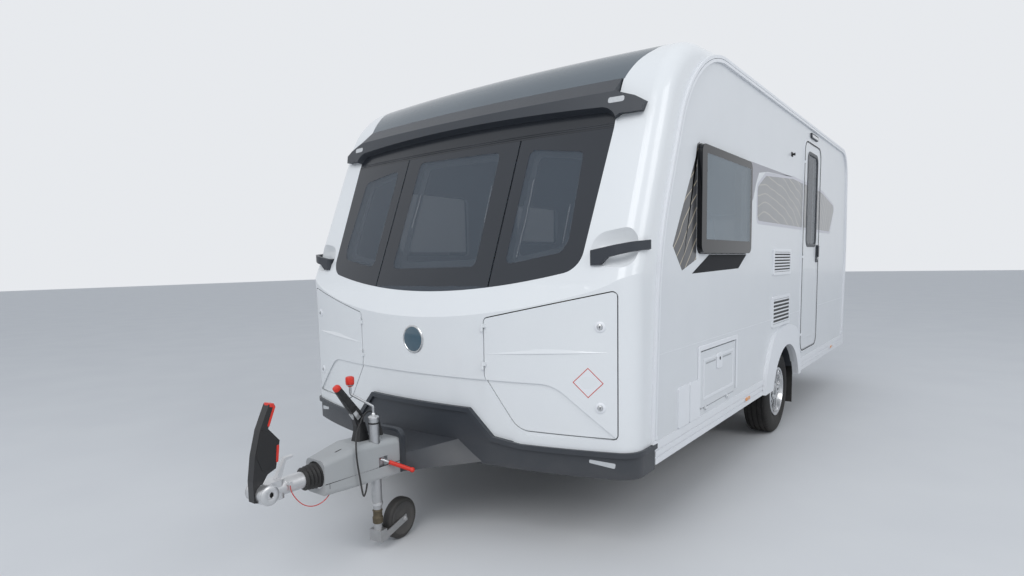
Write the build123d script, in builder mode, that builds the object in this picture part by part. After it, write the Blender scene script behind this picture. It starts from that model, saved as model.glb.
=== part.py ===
from build123d import *
from math import atan2, cos, degrees, hypot, radians, sin
import os

# A single-axle touring caravan, parked on its road wheels and its jockey wheel.
# The frame has its origin on the ground, midway along and across the whole
# length and width. +Z is up, -Y is the towing end and +X is the side with the
# entrance door. All lengths are millimetres.
os.makedirs("parts", exist_ok=True)

# Overall sizes. Lengths along the caravan are measured from the foot of the
# side rails at the front, so along(0) is that foot.
overall_length = 6270
hitch_reach = 1265
trim_depth = 14
lamp_setback = 2.132
body_length = overall_length - hitch_reach - trim_depth + lamp_setback
wall_half = 1123
roof_height = 2465
body_bottom = 380
wall_thickness = 28
skin_thickness = 30
pane_thickness = 6
hatch_frame = 40
hatch_dome = 55
seat_gap = 0.3
door_gap = 5


def along(distance):
    return distance + hitch_reach - overall_length / 2


# The centre line of the front, as corners (distance, height) with the radius
# that rounds each one: foot, shoulder, window sill, brow and roof crown.
shoulder = (-460, 928)
sill = (-250, 1215)
brow = (229, roof_height - 70)
crown = (1150, roof_height)
sill_radius = 200
brow_radius = 535
crown_radius = 5000
window_plan_radius = 8100
front_depth = 1700

# The lower front in plan: its nose, the radius of its bow and of its corners.
nose = -352
nose_plan_radius = 3066
corner_radius = 110
roof_edge_radius = 85

# The rear panel's outline, as insets from the body's end.
tail_bottom_inset = 80
tail_top_inset = 115
tail_height = 1180
tail_top_height = 2200
tail_roof_inset = 430

# The side rail's outline, corners (distance, height) and their radii.
rail_foot = 14
rail_foot_height = 505
rail_roof_height = roof_height - 60
rail_knee = (70, 1400)
rail_brow = 486
rail_knee_radius = 1500
rail_brow_radius = 700
rail_tail_top = 175
rail_tail_radius = 300
rail_tail_belly = 90
rail_tail_belly_radius = 2000
rail_tail_foot = 150
rail_width = 34
rail_depth = 14
rail_slot = (15.5, 18.5)
rail_slot_floor = 6

# Running gear.
axle_distance = 2420
tyre_radius = 315
tyre_width = 185
wheel_centre = 990
rim_radius = 186
arch_distance = 2400
arch_height = 285
arch_radius = 400
arch_inner = 860

# The coupling's height and the tube that carries it.
hitch_height = 430
tube_radius = 38
tube_rear = -570
tongue_rear = -430
tongue_half = 40
tongue_low = 372
tongue_high = 418

# Floor and chassis levels.
floor_bottom = 461
floor_top = rail_foot_height
chassis_bottom = 318
skirt_bottom = 400
skirt_top = rail_foot_height
skirt_end = 60


# Hinges: a knuckle fixed beside the opening with a pin that carries the
# knuckle of the door.
hinge_radius = 5
hinge_pin_radius = 3
hinge_knuckle = 18
hinge_leaf = 14


def hinge_fixed(plane, seat):
    """The fixed half: the plane's X points outwards and its Z along the pin."""
    with BuildPart() as half:
        Cylinder(hinge_radius, hinge_knuckle, align=(Align.CENTER, Align.CENTER, Align.MIN))
        Cylinder(
            hinge_pin_radius,
            2 * hinge_knuckle,
            align=(Align.CENTER, Align.CENTER, Align.MIN),
        )
        Box(
            seat, hinge_leaf, hinge_knuckle, align=(Align.MAX, Align.MAX, Align.MIN)
        )
    return half.part.moved(plane.location)


def hinge_moving(plane, seat):
    """The half on the door: a ring on the pin and a leaf to the door."""
    with BuildPart() as half:
        with Locations((0, 0, hinge_knuckle + seat_gap)):
            Cylinder(
                hinge_radius,
                hinge_knuckle - seat_gap,
                align=(Align.CENTER, Align.CENTER, Align.MIN),
            )
        with Locations((0, 1, hinge_knuckle + seat_gap)):
            Box(
                seat,
                hinge_leaf,
                hinge_knuckle - seat_gap,
                align=(Align.MAX, Align.MIN, Align.MIN),
            )
        Cylinder(hinge_pin_radius + seat_gap, 8 * hinge_knuckle, mode=Mode.SUBTRACT)
    return half.part.moved(plane.location)


def front_profile(inset):
    """The body's centre line profile as a face in the YZ plane."""
    with BuildSketch(Plane.YZ) as profile:
        with BuildLine():
            front = FilletPolyline(
                (along(shoulder[0]), shoulder[1]),
                (along(sill[0]), sill[1]),
                (along(brow[0]), brow[1]),
                (along(crown[0]), crown[1]),
                (along(front_depth), roof_height),
                radius=[sill_radius, brow_radius, crown_radius],
            )
            Polyline(
                front @ 1,
                (along(front_depth), body_bottom - 100),
                (along(shoulder[0]), body_bottom - 100),
                front @ 0,
            )
        make_face()
        if inset:
            offset(amount=-inset, kind=Kind.INTERSECTION)
    return profile.sketch


def plan_profile(inset):
    """The body's plan at locker level as a face in the XY plane."""
    drop = nose_plan_radius - (nose_plan_radius**2 - wall_half**2) ** 0.5
    with BuildSketch(Plane.XY.offset(body_bottom)) as profile:
        with BuildLine():
            bow = ThreePointArc(
                (-wall_half, along(nose + drop)),
                (0, along(nose)),
                (wall_half, along(nose + drop)),
            )
            Polyline(
                bow @ 1,
                (wall_half, along(body_length + 200)),
                (-wall_half, along(body_length + 200)),
                bow @ 0,
            )
        make_face()
        fillet(profile.vertices().sort_by(Axis.Y)[:2], corner_radius)
        if inset:
            offset(amount=-inset)
    return profile.sketch


def tail_profile(inset):
    """The body's rear profile as a face in the YZ plane."""
    with BuildSketch(Plane.YZ) as profile:
        with BuildLine():
            top = Line(
                (along(-1000), roof_height),
                (along(body_length - tail_roof_inset), roof_height),
            )
            bend = TangentArc(
                top @ 1,
                (along(body_length - tail_top_inset), tail_top_height),
                tangent=top % 1,
            )
            back = ThreePointArc(
                bend @ 1,
                (along(body_length), tail_height),
                (along(body_length - tail_bottom_inset), body_bottom - 50),
            )
            Polyline(back @ 1, (along(-1000), body_bottom - 50), top @ 0)
        make_face()
        if inset:
            offset(amount=-inset)
    return profile.sketch


def edges_on_wall(part, half):
    """Edges that lie in the two side planes, without the bottom ones."""
    return [
        edge
        for edge in part.edges()
        if abs(abs(edge.center().X) - half) < 0.01
        and edge.bounding_box().size.X < 0.01
        and edge.bounding_box().max.Z > body_bottom + 1
    ]


def body_form(inset):
    """The whole body as one closed solid, inset from its outer surface."""
    half = wall_half - inset
    turn = degrees(atan2(wall_half + 200, window_plan_radius - front_depth))
    pivot = Axis((0, along(sill[0] + window_plan_radius), 0), (0, 0, 1))
    with BuildPart() as bow:
        revolve(front_profile(inset), axis=pivot, revolution_arc=2 * turn)
    bow_centred = bow.part.rotate(pivot, -turn)
    rear_start = along(front_depth - 200)
    rear_length = body_length
    front_limit = along(front_depth + 3200)
    rear_limit = along(front_depth + 1300)
    with BuildPart() as windows:
        add(bow_centred)
        with Locations((0, along(front_depth), roof_height / 2)):
            Box(2 * half, 3 * front_depth, 2 * roof_height, mode=Mode.INTERSECT)
        with Locations((0, rear_start + rear_length / 2, body_bottom - 100 + inset)):
            Box(
                2 * half,
                rear_length,
                roof_height - body_bottom + 100 - 2 * inset,
                align=(Align.CENTER, Align.CENTER, Align.MIN),
            )
        fillet(
            [e for e in edges_on_wall(windows, half) if e.center().Y < front_limit],
            roof_edge_radius - inset,
        )
    with BuildPart() as tail:
        extrude(tail_profile(inset), amount=half, dir=(1, 0, 0), both=True)
        fillet(
            [e for e in edges_on_wall(tail, half) if e.center().Y > rear_limit],
            roof_edge_radius - inset,
        )
    with BuildPart() as form:
        extrude(plan_profile(inset), amount=roof_height, dir=(0, 0, 1))
        add(windows.part, mode=Mode.INTERSECT)
        add(tail.part, mode=Mode.INTERSECT)
    return form.part


def rail_face():
    """The side wall's outline, bounded by the side rail, in the YZ plane."""
    with BuildSketch(Plane.YZ) as outline:
        with BuildLine():
            edge = FilletPolyline(
                (along(rail_foot), rail_foot_height),
                (along(rail_knee[0]), rail_knee[1]),
                (along(rail_brow), rail_roof_height),
                (along(body_length - rail_tail_top), rail_roof_height),
                (along(body_length - rail_tail_belly), rail_knee[1]),
                (along(body_length - rail_tail_foot), rail_foot_height),
                radius=[
                    rail_knee_radius,
                    rail_brow_radius,
                    rail_tail_radius,
                    rail_tail_belly_radius,
                ],
            )
            Line(edge @ 1, edge @ 0)
        make_face()
    return outline.sketch


def side_span(row, margin=0):
    """Corners of a side feature from a row of front, rear, bottom, top."""
    return (
        (along(row[0]) + margin, row[2] + margin),
        (along(row[1]) - margin, row[3] - margin),
    )


# The body's nested surfaces, from which its panels are cut.
proud_form = body_form(-trim_depth)
outer_form = body_form(0)
pane_form = body_form(pane_thickness)
inner_form = body_form(skin_thickness)

with BuildPart() as side_core:
    extrude(rail_face(), amount=wall_half + 200, dir=(1, 0, 0), both=True)

with BuildPart() as underside:
    with Locations((0, along(body_length / 2), 0)):
        Box(4 * wall_half, body_length - 2 * skirt_end, 2 * rail_foot_height)

with BuildPart() as skin:
    add(outer_form)
    add(inner_form, mode=Mode.SUBTRACT)
    add(side_core.part, mode=Mode.SUBTRACT)
    add(underside.part, mode=Mode.SUBTRACT)

# Panels of the front, cut from the skin.
front_opening = roof_height - 520
opening_low = 1199
opening_half_low = 868
opening_half_high = 901
opening_corner = 100
window_rise = 102
pane_split = 402
pane_joint = 8
lintel_high = roof_height - 415
brow_top = roof_height - 277
brow_half = 895
skylight_side = [(895, -600), (895, 150), (900, 217), (929, 302), (966, 386), (985, 500)]
skylight_corner = 70
skylight_end = 640
roof_front_seam = 1250
roof_rear_seam = 560
bumper_top_outline = [(0, 648), (350, 648), (478, 522), (620, 503), (1300, 503)]
bumper_face_outline = [(0, 626), (341, 626), (467, 501), (615, 481), (1300, 481)]
locker_outline = [(436, 1083), (1055, 1212), (1055, 556), (602, 562), (434, 800)]
locker_radii = [25, 25, 25, 110, 60]
crease_depth = 9
crease_outline = [(0, 470), (0, 790), (776, 790), (1052, 560), (640, 545), (520, 470)]
crease_radii = [0, 0, 180, 0, 0, 0]
lamp_outline = [(932, 464), (1043, 453), (1040, 429), (932, 448)]


def front_prism(outline_points, radii, margin=0):
    """A shape drawn in the XZ plane, run back through the whole front."""
    with BuildPart() as prism:
        with BuildSketch(Plane.XZ.offset(-along(-700))) as outline:
            with BuildLine():
                Polyline(*outline_points, close=True)
            make_face()
            for point, radius in zip(outline_points, radii):
                if radius:
                    corner = [
                        v
                        for v in outline.vertices()
                        if hypot(v.X - point[0], v.Y - point[1]) < 1
                    ]
                    fillet(corner, radius)
            if margin:
                offset(amount=margin)
        extrude(amount=-1500)
    return prism.part


def opening_prism(margin=0):
    """The front windows' opening with its curved sill."""
    with BuildPart() as prism:
        with BuildSketch(Plane.XZ.offset(-along(-700))) as outline:
            with BuildLine():
                base = ThreePointArc(
                    (-opening_half_low, opening_low + window_rise),
                    (0, opening_low),
                    (opening_half_low, opening_low + window_rise),
                )
                Polyline(
                    base @ 1,
                    (opening_half_high, front_opening),
                    (-opening_half_high, front_opening),
                    base @ 0,
                )
            make_face()
            fillet(outline.vertices().sort_by(Axis.Y)[:2], opening_corner)
            if margin:
                offset(amount=-margin)
        extrude(amount=-1500)
    return prism.part


def mirrored_points(points):
    """An outline's right half, closed by its mirror image."""
    return points + [(-x, z) for x, z in reversed(points) if x]


bumper_cut = front_prism(
    mirrored_points(bumper_top_outline + [(1300, body_bottom - 20)]), []
)
bumper_face_cut = front_prism(
    mirrored_points(bumper_face_outline + [(1300, body_bottom - 60)]), []
)
window_cut = opening_prism()
near_locker_cut = front_prism(locker_outline, locker_radii)
near_locker_door_cut = front_prism(locker_outline, locker_radii, -door_gap)

with BuildPart() as front_zone:
    with Locations((0, along(-1000), 0)):
        Box(
            3 * wall_half,
            roof_front_seam + 1000,
            3 * roof_height,
            align=(Align.CENTER, Align.MIN, Align.CENTER),
        )

with BuildPart() as bumper_zone:
    with Locations((0, along(-1000), 0)):
        Box(
            3 * wall_half,
            1000 + skirt_end - 1,
            3 * roof_height,
            align=(Align.CENTER, Align.MIN, Align.CENTER),
        )

brow_opening = front_prism(
    [
        (-opening_half_high, front_opening - 5),
        (opening_half_high, front_opening - 5),
        (brow_half, brow_top),
        (-brow_half, brow_top),
    ],
    [],
)
crease_half = front_prism(crease_outline, crease_radii)
crease_space = (outer_form - body_form(crease_depth)) & (
    crease_half + crease_half.mirror(Plane.YZ)
)

with BuildPart() as skylight_cut:
    with BuildSketch(Plane.XY.offset(brow_top)) as skylight_outline:
        with BuildLine():
            right_side = [(x, along(d)) for x, d in skylight_side]
            right_side.append((skylight_side[-1][0], along(skylight_end)))
            Polyline(*mirrored_points(right_side), close=True)
        make_face()
        fillet(skylight_outline.vertices().sort_by(Axis.Y)[-2:], skylight_corner)
    extrude(amount=roof_height)

# Scoops in the front corners that leave room for a hand behind the handles: a
# ball run along a short line, with a thin shell behind it.
scoop_radius = 125
scoop_shell = 6
scoop_ends = [(996, -204), (1064, -186)]
scoop_height = 1423


def scoop(radius):
    """Both scoops, as round-ended bars of one radius."""
    first, last = (Vector(x, along(d), scoop_height) for x, d in scoop_ends)
    with BuildPart() as bar:
        with BuildSketch(Plane(first, z_dir=last - first)):
            Circle(radius)
        extrude(amount=(last - first).length)
        with Locations(first, last):
            Sphere(radius)
        mirror(about=Plane.YZ)
    return bar.part


locker_hinge_x = 436
locker_hinge_distance = -331
locker_hinge_heights = (840, 1020)
locker_hinge_planes = [
    Plane(
        (locker_hinge_x, along(locker_hinge_distance), height),
        x_dir=(0, -1, 0),
        z_dir=(0, 0, 1),
    )
    for height in locker_hinge_heights
]
locker_hinge_seat = 14

with BuildPart() as front_moulding:
    add(skin.part)
    add(front_zone.part, mode=Mode.INTERSECT)
    add(bumper_cut, mode=Mode.SUBTRACT)
    add(window_cut, mode=Mode.SUBTRACT)
    add(brow_opening, mode=Mode.SUBTRACT)
    add(skylight_cut.part, mode=Mode.SUBTRACT)
    add(near_locker_cut, mode=Mode.SUBTRACT)
    add(near_locker_cut.mirror(Plane.YZ), mode=Mode.SUBTRACT)
    add(crease_space, mode=Mode.SUBTRACT)
    add(scoop(scoop_radius + scoop_shell) & inner_form)
    add(scoop(scoop_radius), mode=Mode.SUBTRACT)
    for plane in locker_hinge_planes:
        fixed_half = hinge_fixed(plane, locker_hinge_seat)
        add(fixed_half)
        add(fixed_half.mirror(Plane.YZ))
front_moulding.part.label = "front_moulding"
export_step(front_moulding.part, "parts/front_moulding.step")

drawbar_opening_half = 215
drawbar_opening_top = 450
bumper_lip_space = (proud_form - outer_form) & bumper_face_cut
lamp_cut = front_prism(lamp_outline, [6, 6, 6, 6])
pane_skin = outer_form - pane_form

with BuildPart() as front_bumper:
    add(proud_form)
    add(inner_form, mode=Mode.SUBTRACT)
    add(bumper_cut, mode=Mode.INTERSECT)
    add(bumper_zone.part, mode=Mode.INTERSECT)
    add(bumper_lip_space, mode=Mode.SUBTRACT)
    add(pane_skin & (lamp_cut + lamp_cut.mirror(Plane.YZ)), mode=Mode.SUBTRACT)
    with Locations((0, along(nose), body_bottom)):
        Box(
            2 * drawbar_opening_half,
            200,
            2 * (drawbar_opening_top - body_bottom),
            mode=Mode.SUBTRACT,
        )
front_bumper.part.label = "front_bumper"
export_step(front_bumper.part, "parts/front_bumper.step")

# The door's outer edge is turned about the hinge, so that it swings out freely.
locker_swing_radius = 636

with BuildPart() as near_locker_door:
    add(skin.part)
    add(near_locker_door_cut, mode=Mode.INTERSECT)
    add(crease_space, mode=Mode.SUBTRACT)
    with Locations((locker_hinge_x, along(locker_hinge_distance), roof_height / 2)):
        Cylinder(locker_swing_radius, roof_height, mode=Mode.INTERSECT)
    for plane in locker_hinge_planes:
        add(hinge_moving(plane, locker_hinge_seat))
near_locker_door.part.label = "near_locker_door"
export_step(near_locker_door.part, "parts/near_locker_door.step")

with BuildPart() as far_locker_door:
    add(near_locker_door.part.mirror(Plane.YZ))
far_locker_door.part.label = "far_locker_door"
export_step(far_locker_door.part, "parts/far_locker_door.step")

with BuildPart() as pane_gaps:
    for side in (-1, 1):
        with Locations((side * pane_split, along(0), front_opening - 500)):
            Box(pane_joint, 1500, 1400)

with BuildPart() as front_windows:
    add(pane_skin)
    add(opening_prism(seat_gap), mode=Mode.INTERSECT)
    add(pane_gaps.part, mode=Mode.SUBTRACT)
front_windows.part.label = "front_windows"
export_step(front_windows.part, "parts/front_windows.step")

# The brow: a section turned about the same axis as the windows, cut to its
# outline from the front, with an arch over the lintel and a lamp in each end.
brow_section = [(30, 1985), (62, 2112), (152, brow_top), (260, brow_top), (180, 1985)]
brow_outline = [
    (0, 1985), (900, 1985), (930, 2003), (1031, 2003), (1040, 2048), (995, 2076),
    (930, 2100), (893, 2112), (brow_half - 6, brow_top + 2), (0, brow_top + 2),
]
brow_arch_half = 965
brow_arch_top = 2095
brow_arch_corner = 130
brow_arch_flare = 30
pod_lamp = (908, 2070, 78, 26)
pod_lamp_floor = 114

with BuildPart() as brow_bar:
    bow_axis = Axis((0, along(sill[0] + window_plan_radius), 0), (0, 0, 1))
    with BuildSketch(Plane.YZ):
        with BuildLine():
            Polyline(*((along(d), z) for d, z in brow_section), close=True)
        make_face()
    revolve(axis=bow_axis, revolution_arc=24)
brow_solid = brow_bar.part.rotate(bow_axis, -12)

with BuildPart() as brow_arch:
    with BuildSketch(Plane((0, along(0), 0), x_dir=(-1, 0, 0), z_dir=(0, 1, 0))):
        with Locations((0, brow_arch_top - 300)):
            RectangleRounded(2 * brow_arch_half, 600, brow_arch_corner)
    extrude(amount=160, taper=brow_arch_flare)

with BuildPart() as pod_slots:
    with BuildSketch(Plane.XZ.offset(-along(-300))):
        with Locations((pod_lamp[0], pod_lamp[1]), (-pod_lamp[0], pod_lamp[1])):
            RectangleRounded(pod_lamp[2], pod_lamp[3], 10)
    extrude(amount=-300 - pod_lamp_floor)

with BuildPart() as front_brow:
    add(brow_solid)
    add(front_prism(mirrored_points(brow_outline), []), mode=Mode.INTERSECT)
    add(brow_arch.part, mode=Mode.SUBTRACT)
    add(inner_form, mode=Mode.SUBTRACT)
    add(outer_form - brow_opening, mode=Mode.SUBTRACT)
    add(pod_slots.part, mode=Mode.SUBTRACT)
front_brow.part.label = "front_brow"
export_step(front_brow.part, "parts/front_brow.step")

lintel_outline = [
    (-opening_half_high, front_opening + seat_gap),
    (opening_half_high, front_opening + seat_gap),
    (opening_half_high, lintel_high),
    (-opening_half_high, lintel_high),
]
with BuildPart() as front_lintel:
    add(pane_skin)
    add(front_prism(lintel_outline, []), mode=Mode.INTERSECT)
    add(brow_opening, mode=Mode.INTERSECT)
    add(front_brow.part, mode=Mode.SUBTRACT)
front_lintel.part.label = "front_lintel"
export_step(front_lintel.part, "parts/front_lintel.step")

with BuildPart() as front_lamps:
    add(pane_skin)
    lens_prism = front_prism(lamp_outline, [6, 6, 6, 6], -seat_gap)
    add(lens_prism + lens_prism.mirror(Plane.YZ), mode=Mode.INTERSECT)
    add(brow_solid & pod_slots.part)
front_lamps.part.label = "front_lamps"
export_step(front_lamps.part, "parts/front_lamps.step")

with BuildPart() as skylight:
    add(pane_skin)
    add(skylight_cut.part, mode=Mode.INTERSECT)
    add(front_zone.part, mode=Mode.INTERSECT)
skylight.part.label = "skylight"
export_step(skylight.part, "parts/skylight.step")

# Rear panel, roof, their openings and lamps.
rear_window = (-640, 640, 1330, 1850)
rear_lamp = (880, 1010, 620, 1130)
frame_overlap = 14
lid_stand = 26
lid_face = 8
window_pocket = 40


def rear_prism(row, margin=0, radius=60):
    """A rounded rectangle in the XZ plane, run through the rear panel."""
    with BuildPart() as prism:
        with BuildSketch(Plane.XZ.offset(-along(body_length - 300))):
            with Locations(((row[0] + row[1]) / 2, (row[2] + row[3]) / 2)):
                RectangleRounded(
                    row[1] - row[0] + 2 * margin,
                    row[3] - row[2] + 2 * margin,
                    radius + margin,
                )
        extrude(amount=-600)
    return prism.part


with BuildPart() as rear_zone:
    with Locations((0, along(body_length - roof_rear_seam), 0)):
        Box(
            3 * wall_half,
            roof_rear_seam + 400,
            3 * roof_height,
            align=(Align.CENTER, Align.MIN, Align.CENTER),
        )

roof_hatch = (2150, 2650, -250, 250)
with BuildPart() as roof:
    add(skin.part)
    add(front_zone.part, mode=Mode.SUBTRACT)
    add(rear_zone.part, mode=Mode.SUBTRACT)
    with Locations((0, along((roof_hatch[0] + roof_hatch[1]) / 2), roof_height)):
        Box(
            roof_hatch[3] - roof_hatch[2],
            roof_hatch[1] - roof_hatch[0],
            200,
            mode=Mode.SUBTRACT,
        )
roof.part.label = "roof"
export_step(roof.part, "parts/roof.step")

rear_window_cut = rear_prism(rear_window)
with BuildPart() as rear_panel:
    add(skin.part)
    add(rear_zone.part, mode=Mode.INTERSECT)
    add(rear_window_cut, mode=Mode.SUBTRACT)
rear_panel.part.label = "rear_panel"
export_step(rear_panel.part, "parts/rear_panel.step")

with BuildPart() as rear_window_pane:
    add(pane_skin)
    add(rear_prism(rear_window, -seat_gap), mode=Mode.INTERSECT)
rear_window_pane.part.label = "rear_window"
export_step(rear_window_pane.part, "parts/rear_window.step")

rear_lamp_cut = rear_prism(rear_lamp, radius=40)
with BuildPart() as rear_lamps:
    add(proud_form)
    add(outer_form, mode=Mode.SUBTRACT)
    add(rear_lamp_cut + rear_lamp_cut.mirror(Plane.YZ), mode=Mode.INTERSECT)
rear_lamps.part.label = "rear_lamps"
export_step(rear_lamps.part, "parts/rear_lamps.step")

with BuildPart() as roof_light:
    with Locations((0, along((roof_hatch[0] + roof_hatch[1]) / 2), roof_height)):
        Box(
            roof_hatch[3] - roof_hatch[2] + 80,
            roof_hatch[1] - roof_hatch[0] + 80,
            hatch_frame,
            align=(Align.CENTER, Align.CENTER, Align.MIN),
        )
    fillet(roof_light.edges().filter_by(Axis.Z), 60)
    with BuildSketch(Plane.XY.offset(roof_height + hatch_frame)):
        with Locations((0, along((roof_hatch[0] + roof_hatch[1]) / 2))):
            RectangleRounded(500, 500, 60)
    extrude(amount=hatch_dome, taper=35)
    with Locations((0, along((roof_hatch[0] + roof_hatch[1]) / 2), roof_height)):
        Box(
            roof_hatch[3] - roof_hatch[2] - 60,
            roof_hatch[1] - roof_hatch[0] - 60,
            2 * (hatch_frame + hatch_dome - 20),
            mode=Mode.SUBTRACT,
        )
roof_light.part.label = "roof_light"
export_step(roof_light.part, "parts/roof_light.step")

# Side openings: front, rear, bottom and top of each, along and up the wall.
lounge_window = (560, 1410, 1365, 1910)
kitchen_window = (2000, 2760, 1480, 1900)
washroom_window = (body_length - 863, body_length - 513, 1500, 1900)
door_opening = (2885, 3485, 572, rail_roof_height - 150)
battery_opening = (622, 1212, 540, 852)
service_opening = (body_length - 1063, body_length - 663, 545, 900)
door_corner = 85
window_corner = 45
locker_corner = 22


def side_prism(row, side, margin=0, radius=40, start=900, depth=400):
    """A rounded rectangle in the side plane, run through one side wall."""
    with BuildPart() as prism:
        with BuildSketch(Plane.YZ.offset(side * start)):
            low, high = side_span(row, -margin)
            with Locations(((low[0] + high[0]) / 2, (low[1] + high[1]) / 2)):
                RectangleRounded(
                    high[0] - low[0], high[1] - low[1], max(radius + margin, 3)
                )
        extrude(amount=side * depth)
    return prism.part


with BuildPart() as arch_cut:
    with Locations(Location((0, along(arch_distance), arch_height), (0, 90, 0))):
        Cylinder(arch_radius, 2 * wall_half + 200)

wall_face = wall_half - wall_thickness
lid_hinge_x = wall_half + 8
lid_hinge_drop = 2
lid_hinge_seat = 8


def lid_hinge_planes(row, side):
    """Where a bottom-hinged lid turns, one plane for each of two hinges."""
    span = row[1] - row[0]
    return [
        Plane(
            (
                side * lid_hinge_x,
                along(row[0] + share * span) - side * hinge_knuckle,
                row[2] - lid_hinge_drop,
            ),
            x_dir=(side, 0, 0),
            z_dir=(0, -side, 0),
        )
        for share in (0.2, 0.8)
    ]


wall_openings = {
    1: (lounge_window, door_opening, battery_opening),
    -1: (lounge_window, kitchen_window, washroom_window, service_opening),
}
opening_corners = {
    lounge_window: window_corner,
    kitchen_window: window_corner,
    washroom_window: window_corner,
    door_opening: door_corner,
    battery_opening: locker_corner,
    service_opening: locker_corner,
}
window_rows = (lounge_window, kitchen_window, washroom_window)

for side, node in ((1, "near_side_wall"), (-1, "far_side_wall")):
    with BuildPart() as side_wall:
        extrude(
            rail_face().moved(Location((side * wall_face, 0, 0))),
            amount=wall_thickness,
            dir=(side, 0, 0),
        )
        add(arch_cut.part, mode=Mode.SUBTRACT)
        for row in wall_openings[side]:
            pocket = window_pocket if row in window_rows else 0
            add(
                side_prism(row, side, -pocket, opening_corners[row] + pocket),
                mode=Mode.SUBTRACT,
            )
        for plane in lid_hinge_planes(wall_openings[side][-1], side):
            add(hinge_fixed(plane, lid_hinge_seat))
    side_wall.part.label = node
    export_step(side_wall.part, f"parts/{node}.step")


def block(low, high, mode=Mode.ADD):
    """A box between two opposite corners, in the part that is being built."""
    with Locations(tuple((a + b) / 2 for a, b in zip(low, high))):
        return Box(*(b - a for a, b in zip(low, high)), mode=mode)


def side_block(side, across, lengthwise, upright, mode=Mode.ADD):
    """A box on one side of the caravan: ranges of x, of distance and of z."""
    near, far = sorted((side * across[0], side * across[1]))
    return block(
        (near, along(lengthwise[0]), upright[0]),
        (far, along(lengthwise[1]), upright[1]),
        mode,
    )


with BuildPart() as awning_rails:
    rail_band = rail_face() - offset(rail_face(), -rail_width)
    slot_band = offset(rail_face(), -rail_slot[0]) - offset(rail_face(), -rail_slot[1])
    for side in (-1, 1):
        extrude(
            rail_band.moved(Location((side * wall_half, 0, 0))),
            amount=rail_depth,
            dir=(side, 0, 0),
        )
        extrude(
            slot_band.moved(Location((side * (wall_half + rail_slot_floor), 0, 0))),
            amount=rail_depth,
            dir=(side, 0, 0),
            mode=Mode.SUBTRACT,
        )
        side_block(
            side,
            (0, 2 * wall_half),
            (rail_foot + rail_width + 10, body_length - rail_tail_foot - rail_width - 10),
            (0, skirt_top + rail_width + 10),
            Mode.SUBTRACT,
        )
awning_rails.part.label = "awning_rails"
export_step(awning_rails.part, "parts/awning_rails.step")

skirt_inner = 1101
skirt_outer = 1127
skirt_grooves = (430, 462)
groove_width = 7
groove_depth = 4
with BuildPart() as side_skirts:
    for side in (-1, 1):
        side_block(
            side,
            (skirt_inner, skirt_outer),
            (skirt_end, body_length - skirt_end),
            (skirt_bottom, skirt_top),
        )
        for groove in skirt_grooves:
            side_block(
                side,
                (skirt_outer - groove_depth, skirt_outer + 10),
                (-100, body_length + 100),
                (groove, groove + groove_width),
                Mode.SUBTRACT,
            )
    add(arch_cut.part, mode=Mode.SUBTRACT)
side_skirts.part.label = "side_skirts"
export_step(side_skirts.part, "parts/side_skirts.step")

arch_stand = 25
arch_points = [
    (1818, skirt_bottom),
    (1840, 560),
    (2010, 782),
    (2400, 850),
    (2740, 782),
    (2835, 520),
    (2862, skirt_bottom),
]
arch_radii = [200, 180, 900, 180, 200]
with BuildPart() as arch_trims:
    with BuildSketch(Plane.YZ.offset(wall_half)) as arch_outline:
        with BuildLine():
            hoop = FilletPolyline(
                *((along(d), z) for d, z in arch_points),
                radius=arch_radii,
            )
            Line(hoop @ 1, hoop @ 0)
        make_face()
    extrude(amount=arch_stand)
    add(arch_cut.part, mode=Mode.SUBTRACT)
    block(
        (wall_half - 1, along(1800), 380),
        (skirt_outer + seat_gap, along(3200), skirt_top),
        mode=Mode.SUBTRACT,
    )
    mirror(about=Plane.YZ)
arch_trims.part.label = "arch_trims"
export_step(arch_trims.part, "parts/arch_trims.step")

liner = 5
with BuildPart() as wheel_boxes:
    with BuildSketch(Plane.YZ.offset(arch_inner - liner)):
        with Locations((along(arch_distance), arch_height)):
            Circle(arch_radius + liner)
    extrude(amount=wall_face - arch_inner + liner)
    with BuildSketch(Plane.YZ.offset(arch_inner)):
        with Locations((along(arch_distance), arch_height)):
            Circle(arch_radius)
    extrude(amount=wall_face - arch_inner, mode=Mode.SUBTRACT)
    block(
        (0, along(0), -wall_half),
        (wall_half, along(body_length), floor_bottom),
        mode=Mode.SUBTRACT,
    )
    mirror(about=Plane.YZ)
wheel_boxes.part.label = "wheel_boxes"
export_step(wheel_boxes.part, "parts/wheel_boxes.step")

with BuildPart() as wheel_wells:
    for side in (-1, 1):
        with BuildSketch(Plane.YZ.offset(side * (arch_inner - liner))):
            with Locations((along(arch_distance), arch_height)):
                Circle(arch_radius + liner)
        extrude(amount=side * 400)

with BuildPart() as floor:
    block(
        (-wall_half, along(nose), floor_bottom),
        (wall_half, along(body_length), floor_top),
    )
    add(inner_form, mode=Mode.INTERSECT)
    block(
        (-skirt_inner, along(skirt_end), floor_bottom),
        (skirt_inner, along(body_length - skirt_end), floor_top),
    )
    add(wheel_wells.part, mode=Mode.SUBTRACT)
floor.part.label = "floor"
export_step(floor.part, "parts/floor.step")

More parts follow.
